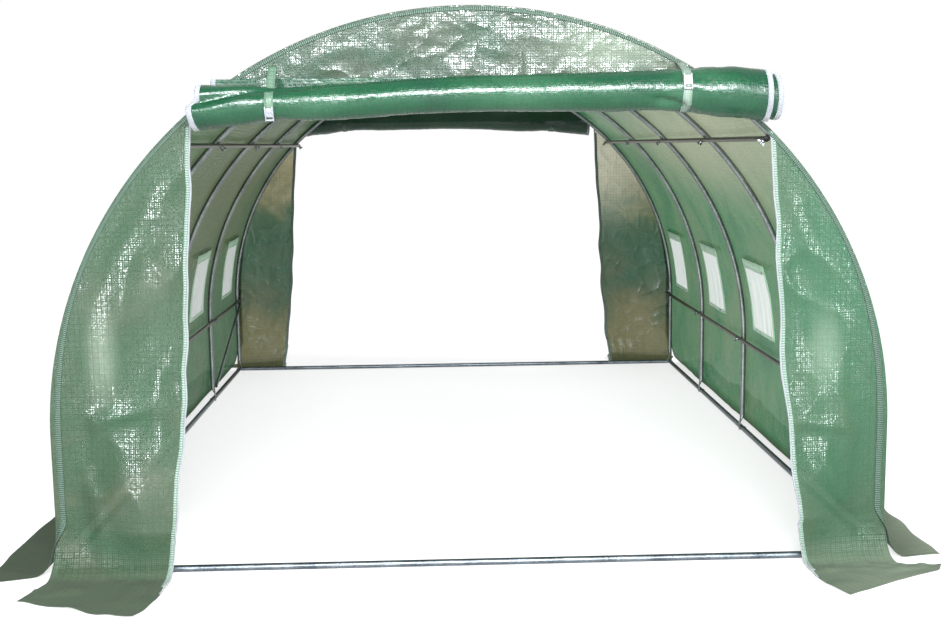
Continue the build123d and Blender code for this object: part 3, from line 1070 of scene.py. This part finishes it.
def skirt_point(point, x, share, rest, hand, seed):
    """Draw a point of a curtain's foot out to its place on the ground.

    share runs from the free edge to the sewn one, rest from the flare to the skirt's edge.
    """
    shares, edge_x, edge_y = zip(*SKIRT_EDGES[hand])
    goal_x = float(np.interp(share, shares, edge_x))
    goal_y = -END_HOOP - float(np.interp(share, shares, edge_y))
    hump = max(0.0, swell(x, rest * 0.3, size=0.11, seed=seed + 9))
    curl = max(0.0, swell(x, 0.2, size=0.09, seed=seed + 2))
    lift = 0.010 * hump * smooth(rest, 0, 0.3)
    lift += 0.006 * smooth(rest, 0.75, 1.0) * curl
    point.x += (goal_x - point.x) * rest ** (1 + 1.4 * (1 - share) ** 2)
    point.y += (goal_y - point.y) * rest
    point.z += lift


def add_curtain(end, hand):
    """Upright sheet beside a doorway, sewn to the arch and spread out on the ground."""
    side = -1 if hand == "left" else 1
    heights, places = zip(*FREE_EDGES[hand])
    folds = [
        ((side * x0, z0), (side * x1, z1), width, height)
        for (x0, z0), (x1, z1), width, height in CURTAIN_FOLDS[hand]
    ]
    seed = 11.3 + side + (20 if end == "back" else 0)
    tip = heights[-1]
    tape = TAPE_WIDTH + LADDER_WIDTH
    widest = SHEET_EDGE - places[0] + CURTAIN_LAP
    upright = tip - FLARE_TOP
    total = upright + CURTAIN_BEND + CURTAIN_SKIRT

    def inner(z):
        """Distance of the free edge from the middle at a height."""
        return float(np.interp(z, heights, places))

    def across(share_width, width):
        """Distance from the free edge: the tape keeps its width where the sheet narrows."""
        kept = min(tape, width / 2)
        if share_width <= tape:
            return share_width * kept / tape
        return kept + (share_width - tape) / (widest - tape) * (width - kept)

    def hang(a, z):
        """Above the flare the sheet hangs, and its free edge waves."""
        u = across(a, arch_reach(z) - inner(z))
        x = inner(z) + u
        depth = sheet_depth(side * x, z, seed, folds, hand)
        slack = exp(-u / 0.06) * smooth(tip - z, 0.05, 0.3)
        depth += 0.006 * swell(0.3, z, size=0.22, seed=seed) * slack
        hung_x = side * (x + 0.008 * swell(0.9, z, size=0.15, seed=seed) * slack)
        return turned(Vector((hung_x, -SHEET_FACE - depth, z)), end), (side * x, z)

    def place(a, b):
        if b <= upright:
            return hang(a, max(0.0, tip - b))
        run = min(1.0, (b - upright) / CURTAIN_BEND)
        forward = soft_bend(FLARE_FORWARD, run)
        z = soft_bend(FLARE_HEIGHTS, run)
        width = arch_reach(0) - inner(z)
        u = across(a, width)
        x = inner(z) + u
        share = u / width
        forward += sheet_depth(side * x, FLARE_TOP, seed, folds, hand) * (1 - run)
        out = smooth(share, 0.7, 1.0) * 0.02 * run
        point = Vector((x + out, -SHEET_FACE - forward, z))
        rest = (b - upright - CURTAIN_BEND) / CURTAIN_SKIRT
        if rest > 0:
            skirt_point(point, x, share, rest, hand, seed)
        ripple = 0.007 * crease(x, b * 0.25, size=0.05, seed=seed + 6) * smooth(run, 0.2, 0.7)
        point.z += ripple * (1 - smooth(rest, 0.1, 0.9))
        point.x *= side
        return turned(point, end), (side * x, tip - b)

    stations = [0, TAPE_WIDTH / 2, TAPE_WIDTH, tape] + filled([tape, widest], SMALL)[1:]
    rows = filled([0, upright, upright + CURTAIN_BEND, total], SMALL)
    curtain = add_sheet(f"{end}_curtain_{hand}", stations, rows, place)
    close_points(curtain)
    finish_curtain(curtain, end, hand, side, inner)


def finish_curtain(curtain, end, hand, side, inner):
    def from_edge(u, v):
        """Distance of a point on the flat sheet from the free edge."""
        return side * u - inner(max(0.0, v))

    tip = FREE_EDGES[hand][-1][0]
    binding = edge_strip(
        curtain,
        f"{end}_{hand}_edge_binding",
        lambda u, v: from_edge(u, v) < TAPE_WIDTH and -0.16 < v < tip - 0.01,
        BINDING_THICKNESS,
        WHITE_TAPE,
    )
    ladder = edge_strip(
        curtain,
        f"{end}_{hand}_zip",
        lambda u, v: 0 < from_edge(u, v) - TAPE_WIDTH < LADDER_WIDTH and -0.1 < v < tip - 0.03,
        ZIP_THICKNESS,
        ZIP_TAPE,
    )
    panel = hand if end == "front" else {"left": "right", "right": "left"}[hand]
    finish_piece(
        curtain,
        END_FILM if end == "front" else BACK_FILM,
        [f"{end}_{panel}_panel", f"{end}_{panel}_skirt"],
    )


def add_gable(end):
    """Half-moon sheet above the doorway, drawn tight to the arch."""
    foot = LINTEL - 0.03  # its lower edge hangs behind the roll
    half_width = arch_reach(foot)
    seed = 4.2 if end == "front" else 31.0

    def place(a, b):
        top = LEG_HEIGHT + sqrt(max(0.0, SHEET_EDGE**2 - a * a))
        z = foot + (top - foot) * b
        depth = sheet_depth(a, z, seed, GABLE_FOLDS)
        depth *= 1 - 0.8 * smooth(-z, -LINTEL - 0.05, -LINTEL)  # flatter behind the roll
        return turned(Vector((a, -SHEET_FACE - depth, z)), end), (a, z)

    stations = filled([-half_width, 0, half_width], SMALL)
    rows = [k / GABLE_STEPS for k in range(GABLE_STEPS + 1)]
    gable = add_sheet(f"{end}_gable_sheet", stations, rows, place)
    close_points(gable)
    film = GABLE_FILM if end == "front" else SHADED_GABLE_FILM
    finish_piece(gable, film, [f"{end}_gable"])


# ---- Rolled doors -------------------------------------------------------
roll_low, roll_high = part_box("front_door_roll")
tie_low, tie_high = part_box("front_door_ties")
ROLL_RADIUS = (roll_high.y - roll_low.y) / 2
ROLL_DEPTH = (roll_low.y + roll_high.y) / 2
ROLL_CORE = 0.020  # radius of the hollow inside
ROLL_TURNS = 6
ROLL_ANGLE = tau * ROLL_TURNS
ROLL_TAIL = 0.06  # the sheet comes down to the roll from its seam behind the gable's foot
ROLL_SEAM = 1.745  # height of that seam
# The roll hangs through outside its two ties: (place, height of its axis).
ROLL_LINE = [
    (-0.96, 1.650),
    (-0.64, 1.660),
    (0.05, 1.686),
    (0.74, 1.692),
    (0.88, 1.684),
    (1.05, 1.666),
]
# It is tight between the ties and loose at the ends: (place, share of its radius).
ROLL_BULGE = [
    (-0.96, 1.15),
    (-0.76, 1.00),
    (-0.64, 0.82),
    (-0.45, 0.86),
    (0.05, 0.89),
    (0.55, 0.98),
    (0.74, 1.08),
    (0.80, 1.18),
    (0.88, 1.25),
    (1.05, 1.30),
]
CREASE_START = 0.580  # a crease runs from here down to the right tie
CREASE_LENGTH = 0.130
TIE_WIDTH = 0.030
TIE_PLACES = (tie_low.x + TIE_WIDTH / 2 - 0.030, tie_high.x - TIE_WIDTH / 2 - 0.014)
TIE_FROM, TIE_TO = 1.34 * pi, 0.12 * pi  # where each tie meets the roll and leaves it
TIE_RISE = 0.13  # length from the gable down to the roll
TIE_LIFT = 0.0022  # the tie lies on the roll
BUCKLE_TURNS = (0.80 * pi, 1.10 * pi)  # low on the left tie, high on the right one
BUCKLE_LIFT = 0.0055  # the middle of a buckle stands off the roll


def tie_pucker(x, turn):
    """Share by which the roll is drawn in round its ties, in small pleats."""
    share = 1
    for tie in TIE_PLACES:
        pleats = 0.6 + 0.4 * sin(7 * turn + 40 * abs(x - tie))
        share *= 1 - 0.05 * mound(x - tie, 0.09) * pleats
    return share


def end_groove(x, turn):
    """Share left by the deep groove in the roll's left end, where its sheets part."""
    middle = pi + 0.16 + 0.95 * smooth(x, -0.96, -0.62)
    depth = 0.36 * (1 - smooth(x, -0.74, -0.40))
    return 1 - depth * exp(-abs((turn % tau - middle) / 0.22) ** 1.5)


def tie_crease(x, turn):
    """Share left by the crease that runs down to the right tie, sharp above and soft below."""
    along = (x - CREASE_START) / CREASE_LENGTH
    pinch = smooth(along, 0, 0.5) * (1 - smooth(along, 1.0, 1.15))
    below = pi - 0.10 - 0.5 * along - turn % tau
    return 1 - 0.20 * pinch * smooth(below, 0, 0.14) * (1 - smooth(below, 0.22, 0.75))


def roll_radius(x, turn):
    """Distance of the sheet from the roll's axis, with the ripples of its outer layers."""
    share = max(0.0, turn / ROLL_ANGLE)
    radius = ROLL_RADIUS - (ROLL_RADIUS - ROLL_CORE) * share
    radius *= eased(x, ROLL_BULGE)
    outer = (1 - min(1.0, share)) ** 2
    radius *= 1 + outer * 0.035 * swell(x * 0.5, turn * 0.05, size=0.10, seed=6.4)
    ripple = crease(x + 0.02 * turn, turn * 0.03, size=0.05, seed=2.9) - 0.3
    radius *= 1 + outer * 0.030 * ripple
    return radius * tie_pucker(x, turn) * end_groove(x, turn) * tie_crease(x, turn)


def roll_point(x, turn, lift=0.0):
    """Point on the roll's spiral: turn is counted inwards from the back of its outside."""
    radius = roll_radius(x, turn) + lift
    y = ROLL_DEPTH + radius * cos(turn)
    return Vector((x, min(y, -END_FACE - 0.0012), eased(x, ROLL_LINE) - radius * sin(turn)))


def spiral_turn(share):
    """Turn at a share of the wound length: the inner turns are shorter."""
    core = ROLL_CORE / ROLL_RADIUS
    turn = ROLL_ANGLE * (1 - sqrt(1 - share * (1 - core**2))) / (1 - core)
    return min(turn, ROLL_ANGLE)


def fanned_x(x, turn, near_left, near_right):
    """Place along the roll: the layers fan out of its two ends."""
    first = 1 - smooth(turn, 1.6 * pi, 2.4 * pi)  # the outermost layer
    steps = 0.004 * sin(turn * 0.9) * smooth(turn, tau, 1.3 * tau)
    x += (steps - first * 0.034) * near_right
    fanned = steps + 0.031 - 0.018 * first - 0.014 * smooth(turn, 0.5 * pi, pi)
    fanned += 0.027 * smooth(turn, 1.02 * pi, 1.12 * pi)
    return x + fanned * near_left


def add_roll(end):
    """The door: one sheet wound into a loose roll in front of the gable."""
    wound = ROLL_ANGLE * (ROLL_RADIUS + ROLL_CORE) / 2
    left, right = roll_low.x + 0.005, roll_high.x  # the layers fan out past these

    def place(a, b):
        x_share = (a - left) / (right - left)
        near_left, near_right = 1 - smooth(x_share, 0, 0.3), smooth(x_share, 0.6, 1.0)
        turn = spiral_turn(max(0.0, (b - ROLL_TAIL) / wound))
        point = roll_point(fanned_x(a, turn, near_left, near_right), turn)
        if b < ROLL_TAIL:
            point.z += (ROLL_SEAM - point.z) * (1 - b / ROLL_TAIL)
            point.x += 0.045 * near_left
        return turned(point, end), (a, b)

    stations = [left, left + ROLL_TAPE / 2, left + ROLL_TAPE]
    stations += filled([left + ROLL_TAPE, right - ROLL_TAPE], 0.02)[1:]
    stations += [right - ROLL_TAPE / 2, right]
    rows = filled([0, ROLL_TAIL, ROLL_TAIL + wound], 0.0105)
    roll = add_sheet(f"{end}_door_roll_sheet", stations, rows, place)
    tapes = [
        edge_strip(
            roll,
            f"{end}_door_{name}_binding",
            wanted,
            ROLL_BINDING_THICKNESS,
            WHITE_TAPE,
        )
        for name, wanted in (
            ("left", lambda a, b: a < left + ROLL_TAPE),
            ("right", lambda a, b: a > right - ROLL_TAPE),
        )
    ]
    finish_piece(roll, ROLL_FILM, [f"{end}_door_roll"])


def cast_block(place, size):
    """Plain block, the start of a small cast or moulded part."""
    deselect()
    bpy.ops.mesh.primitive_cube_add(size=1, location=place, scale=size)
    bpy.ops.object.transform_apply(location=True, rotation=True, scale=True)
    return bpy.context.object


def round_edges(block, rounding, segments=3):
    """Round the edges of a small part."""
    edge = block.modifiers.new("rounding", "BEVEL")
    edge.width = rounding
    edge.segments = segments
    bpy.ops.object.modifier_apply(modifier=edge.name)
    bpy.ops.object.shade_smooth_by_angle(angle=radians(40))
    return block


def add_buckle(name):
    """White squeeze buckle in the XZ plane: two long prongs, a body and a bar for the strap."""
    # Body, two prongs, bar and button: place, size, rounding.
    blocks = [
        ((0, 0, 0.005), (0.021, 0.0070, 0.034), 0.0020),
        ((-0.0125, 0, 0), (0.0045, 0.0085, 0.056), 0.0018),
        ((0.0125, 0, 0), (0.0045, 0.0085, 0.056), 0.0018),
        ((0, 0, -0.0245), (0.023, 0.0055, 0.0050), 0.0014),
        ((0, -0.0032, 0.0100), (0.012, 0.0040, 0.012), 0.0012),
    ]
    parts = [round_edges(cast_block(place, size), soft) for place, size, soft in blocks]
    return join_parts(parts, name)


def add_tie(end, name, x_place):
    """Film strap that hangs from the gable and runs round the roll."""
    top = tie_high.z - 0.022
    ring = (TIE_FROM - TIE_TO) * ROLL_RADIUS

    def place(a, b):
        x = x_place + a
        if b < TIE_RISE:
            share = b / TIE_RISE
            entry = roll_point(x, TIE_FROM, TIE_LIFT)
            head = Vector((x, -END_FACE - 0.0016, top))
            point = head.lerp(entry, share)
            point.y += 0.022 * share * (1 - share)
            point.z += 0.010 * share * (1 - share)
        else:
            turn = TIE_FROM - (b - TIE_RISE) / ring * (TIE_FROM - TIE_TO)
            point = roll_point(x, turn, TIE_LIFT)
        return turned(point, end), (a, b)

    across = [-TIE_WIDTH / 2, -TIE_WIDTH / 6, TIE_WIDTH / 6, TIE_WIDTH / 2]
    tie = add_sheet(name, across, filled([0, TIE_RISE, TIE_RISE + ring], 0.0085), place)
    thicken(tie, TIE_THICKNESS)
    finish_piece(tie, STRAP_FILM, [f"{end}_door_ties"])


def add_ties(end):
    """Two straps round the roll, each closed by a buckle."""
    for number, (x_place, turn) in enumerate(zip(TIE_PLACES, BUCKLE_TURNS), start=1):
        add_tie(end, f"{end}_tie_{number}", x_place)
        buckle = add_buckle(f"{end}_buckle_{number}")
        seat = roll_point(x_place, turn, BUCKLE_LIFT)
        matrix = Matrix.Translation(seat) @ Matrix.Rotation(pi - turn, 4, "X")
        if end == "back":
            matrix = Matrix.Rotation(pi, 4, "Z") @ matrix
        buckle.data.transform(matrix)
        finish_piece(buckle, WHITE_PLASTIC)


# ---- Bolts, wing nuts and plugs -----------------------------------------
def turned_part(name, profile, sides=16):
    """Small turned part: a disc drawn up through a profile of (radius, height)."""
    deselect()
    radius, height = profile[0]
    bpy.ops.mesh.primitive_circle_add(
        vertices=sides, radius=radius, fill_type="NGON", location=(0, 0, height)
    )
    part = name_piece(bpy.context.object, name)
    bpy.ops.object.transform_apply(location=True, rotation=True, scale=True)
    bpy.ops.object.mode_set(mode="EDIT")
    bpy.ops.mesh.select_all(action="SELECT")
    for (radius, height), (wider, higher) in zip(profile, profile[1:]):
        rise = (0, 0, higher - height)
        bpy.ops.mesh.extrude_region_move(TRANSFORM_OT_translate={"value": rise})
        share = wider / radius
        bpy.ops.transform.resize(value=(share, share, 1), center_override=(0, 0, higher))
    bpy.ops.mesh.select_all(action="SELECT")
    bpy.ops.mesh.normals_make_consistent(inside=False)
    bpy.ops.object.mode_set(mode="OBJECT")
    bpy.ops.object.shade_smooth_by_angle(angle=radians(35))
    return part


def join_parts(parts, name):
    """Join small parts into one piece."""
    deselect()
    for part in parts:
        part.select_set(True)
    bpy.context.view_layer.objects.active = parts[0]
    bpy.ops.object.join()
    return name_piece(parts[0], name)


def nut_wing(side):
    """One wing of a wing nut: a small block whose outer end is drawn up and out."""
    middle = side * 0.0088
    wing = cast_block((middle, 0, 0.0085), (0.0095, 0.0024, 0.0095))
    select_points(wing, lambda point: side * (point.x - middle) > 0)
    bpy.ops.transform.translate(value=(side * 0.0020, 0, 0.0042))
    bpy.ops.object.mode_set(mode="OBJECT")
    return round_edges(wing, 0.0010, 2)


def wing_nut_pattern():
    """Washer, winged nut and rounded bolt end, pointing along +Z from the tube's skin."""
    washer = turned_part(
        "washer", [(0.0078, -0.0008), (0.0084, 0.0), (0.0084, 0.0012), (0.0078, 0.0016)], 18
    )
    hub = turned_part(
        "hub", [(0.0062, 0.0014), (0.0066, 0.0022), (0.0054, 0.0085), (0.0046, 0.0095)], 14
    )
    stem = turned_part(
        "stem", [(0.0030, 0.006), (0.0030, 0.0165), (0.0026, 0.0176), (0.0014, 0.0181)], 12
    )
    return join_parts([hub, washer, stem, nut_wing(-1), nut_wing(1)], "wing_nut_pattern")


def hex_bolt_pattern():
    """Washer, hexagon head and dome, pointing along +Z from the tube's skin."""
    washer = turned_part(
        "washer", [(0.0076, -0.0004), (0.0082, 0.0), (0.0082, 0.0010), (0.0078, 0.0014)], 18
    )
    head = turned_part(
        "head", [(0.0056, 0.0012), (0.0058, 0.0016), (0.0058, 0.0050), (0.0049, 0.0056)], 6
    )
    stem = turned_part("stem", [(0.003, 0.005), (0.003, 0.0085), (0.0018, 0.0093)], 12)
    return join_parts([head, washer, stem], "hex_bolt_pattern")


def plug_pattern():
    """Domed end plug of a purlin, pointing along +Z from the tube's end."""
    shank = [(0.0080, -0.004), (0.0080, 0.0001)]
    dome = [(0.0112, 0.0002), (0.0114, 0.0032), (0.0090, 0.0052), (0.0045, 0.0062)]
    return turned_part("plug_pattern", shank + dome, 24)


def copies(pattern, name, matrices, material):
    """Copies of a pattern at each place, joined into one piece."""
    made = []
    for matrix in matrices:
        copy = pattern.copy()
        copy.data = pattern.data.copy()
        bpy.context.collection.objects.link(copy)
        copy.data.transform(matrix)
        made.append(copy)
    piece = join_parts(made, name)
    return finish_piece(piece, material)


def facing(place, direction, spin=0.0):
    """Matrix that sets a pattern at a place, its +Z along a direction."""
    turn = Vector(direction).to_track_quat("Z", "Y").to_matrix().to_4x4()
    return Matrix.Translation(place) @ turn @ Matrix.Rotation(spin, 4, "Z")


PURLINS = {
    "lower_left": "lower_purlin_left",
    "upper_left": "upper_purlin_left",
    "ridge": "ridge_purlin",
    "upper_right": "upper_purlin_right",
    "lower_right": "lower_purlin_right",
}
# Bolts through the feet: height, and how far the washer is sunk below the rail's box.
CROSS_RAIL_BOLT = (0.0225, 0.0001)
SIDE_RAIL_BOLT = (0.0125, 0.0004)


def add_purlin_fittings():
    """A wing nut under each purlin at every hoop, and plugs in the ends of two purlins."""
    wing_nut, plug = wing_nut_pattern(), plug_pattern()
    plugs = []
    for name, node in PURLINS.items():
        low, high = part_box(node)
        middle = (low + high) / 2
        inward = Vector((-middle.x, 0, LEG_HEIGHT - middle.z)).normalized()
        skin = inward * PURLIN_TUBE
        # Each nut stops at a turn of its own.
        places = [
            facing(Vector((middle.x, y, middle.z)) + skin, inward, 0.5 + 1.1 * k + middle.x)
            for k, y in enumerate(HOOP_PLACES)
        ]
        copies(wing_nut, f"{name}_wing_nuts", places, BOLT_ZINC)
        if "upper" in name:
            end = -1 if middle.x > 0 else 1
            plugs.append(facing((middle.x, high.y * end, middle.z), (0, end, 0)))
    copies(plug, "purlin_plugs", plugs, BLACK_PLASTIC)
    for pattern in (wing_nut, plug):
        bpy.data.objects.remove(pattern)


def add_foot_bolts():
    """Two hexagon bolts through each foot: one from inside, one through the side rail."""
    hexagon = hex_bolt_pattern()
    rail_low, rail_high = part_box("base_rail_right")
    rail_skin = (rail_low.x + rail_high.x) / 2 + HOOP_TUBE
    foot_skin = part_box("base_rail_front")[1].x
    inner_height, inner_sunk = CROSS_RAIL_BOLT
    outer_height, outer_sunk = SIDE_RAIL_BOLT
    for name, side in (("left", -1), ("right", 1)):
        feet = []
        for y in HOOP_PLACES:
            inside = (side * (foot_skin - inner_sunk), y, inner_height)
            outside = (side * (rail_skin - outer_sunk), y, outer_height)
            feet += [facing(inside, (-side, 0, 0), 0.3), facing(outside, (side, 0, 0))]
        copies(hexagon, f"{name}_foot_bolts", feet, BOLT_ZINC)
    bpy.data.objects.remove(hexagon)


# ---- Steel frame --------------------------------------------------------
def finish_steel():
    """Galvanised finish on every tube of the frame, darker on the purlins and base rails as
    painted shade.
    """
    for name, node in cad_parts.items():
        if name.startswith(("hoop", "base_rail", "lower", "upper", "ridge", "brace")):
            finish = PURLIN_STEEL if "purlin" in name else RAIL_STEEL if "rail" in name else STEEL
            node.data.materials.clear()
            node.data.materials.append(finish)


# ---- Studio -------------------------------------------------------------
CAMERA_PLACE = Vector((-0.121, -6.242, 1.512))
CAMERA_TURN = radians(1.81)
CAMERA_TILT = radians(7.82)
CAMERA_ROLL = radians(-0.69)
CAMERA_LENS = 45.9
CAMERA_SENSOR = 36
FLOOR_SIZE = 80
BRIGHT_SIDE = (0.45, 0.85, 0.25)  # towards the brightest of the walls


def add_camera():
    """Camera before the front doorway, a little below the roll, looking slightly down."""
    ahead = cos(CAMERA_TILT)
    forward = Vector((sin(CAMERA_TURN) * ahead, cos(CAMERA_TURN) * ahead, -sin(CAMERA_TILT)))
    level = Vector((cos(CAMERA_TURN), -sin(CAMERA_TURN), 0))
    upright = level.cross(forward)
    right = level * cos(CAMERA_ROLL) + upright * sin(CAMERA_ROLL)
    up = upright * cos(CAMERA_ROLL) - level * sin(CAMERA_ROLL)
    turn = Matrix((right, up, -forward)).transposed()
    bpy.ops.object.camera_add(location=CAMERA_PLACE, rotation=turn.to_euler())
    camera = bpy.context.object
    camera.name = "studio_camera"
    camera.data.lens = CAMERA_LENS
    camera.data.sensor_width = CAMERA_SENSOR
    bpy.context.scene.camera = camera


LAMP_TINT = (0.93, 0.97, 1.0)  # cool studio daylight
# Soft lamps: place, point they face, width, height, power.
LAMPS = {
    "left_softbox": ((-4.5, -8.5, 1.6), (-1.3, -2.0, 0.9), 1.2, 2.8, 640),
    "right_softbox": ((4.6, -8.5, 1.6), (1.3, -2.0, 0.9), 1.0, 2.6, 350),
    "gable_softbox": ((2.1, -8.5, 2.7), (0.5, -2.0, 1.85), 2.2, 0.9, 72),
    "roll_softbox": ((0.1, -8.0, 3.8), (0.05, -2.1, 1.7), 3.4, 1.1, 1500),
}


def add_lamp(name, place, target, width, height, power):
    """Soft oblong lamp that faces a target."""
    aim = (Vector(target) - Vector(place)).to_track_quat("-Z", "Y")
    bpy.ops.object.light_add(type="AREA", location=place, rotation=aim.to_euler())
    lamp = bpy.context.object
    lamp.name = name
    lamp.data.shape = "RECTANGLE"
    lamp.data.size = width
    lamp.data.size_y = height
    lamp.data.color = LAMP_TINT
    lamp.data.energy = power


def add_surroundings():
    """White studio walls, lit behind and to the right and dim in front and to the left."""
    world = bpy.data.worlds.new("studio")
    bpy.context.scene.world = world
    world.use_nodes = True
    world.node_tree.nodes.clear()
    node = partial(add_node, world.node_tree)
    direction = node("TexCoord").outputs["Generated"]
    bright_side = {0: direction, 1: BRIGHT_SIDE}
    towards = node("VectorMath", bright_side, operation="DOT_PRODUCT").outputs["Value"]
    limits = {"From Min": -0.5, "From Max": 0.55, "To Min": 0.2, "To Max": 1.0}
    strength = node("MapRange", {"Value": towards, **limits})
    walls = node("Background", {"Color": colour("#ffffff"), "Strength": strength})
    node("OutputWorld", {"Surface": walls})


def add_floor():
    """Pale plain paper floor that glows a little, so that it stays white."""
    bpy.ops.mesh.primitive_plane_add(size=FLOOR_SIZE, location=(0, 0, -0.0005))
    floor = name_piece(bpy.context.object, "studio_floor")
    paper, node = new_material("matt_studio_paper")
    matt = {"Base Color": colour("#959595"), "Roughness": 0.9, "Specular IOR Level": 0.1}
    bright = {"Emission Color": colour("#ffffff"), "Emission Strength": 0.70}
    node("OutputMaterial", {"Surface": node("BsdfPrincipled", matt | bright)})
    floor.data.materials.append(paper)


def add_studio():
    """White surroundings, a pale paper floor and large soft lamps."""
    bpy.context.scene.view_settings.view_transform = "Standard"
    add_surroundings()
    add_floor()
    for name, settings in LAMPS.items():
        add_lamp(name, *settings)
    slant = (radians(14), radians(55), 0)
    bpy.ops.object.light_add(type="SUN", location=(4, -1, 4), rotation=slant)
    sun = bpy.context.object
    sun.name = "side_light"
    sun.data.energy = 2.8
    sun.data.angle = radians(12)  # soft edges to its shadows


# ---- Put the tunnel together --------------------------------------------
finish_steel()
add_cover()
for side in (-1, 1):
    for number, place in enumerate(WINDOW_PLACES, start=1):
        add_window(side, number, place)
for end in ("front", "back"):
    add_gable(end)
    for hand in ("left", "right"):
        add_curtain(end, hand)
    add_roll(end)
    add_ties(end)
add_purlin_fittings()
add_foot_bolts()
add_camera()
add_studio()
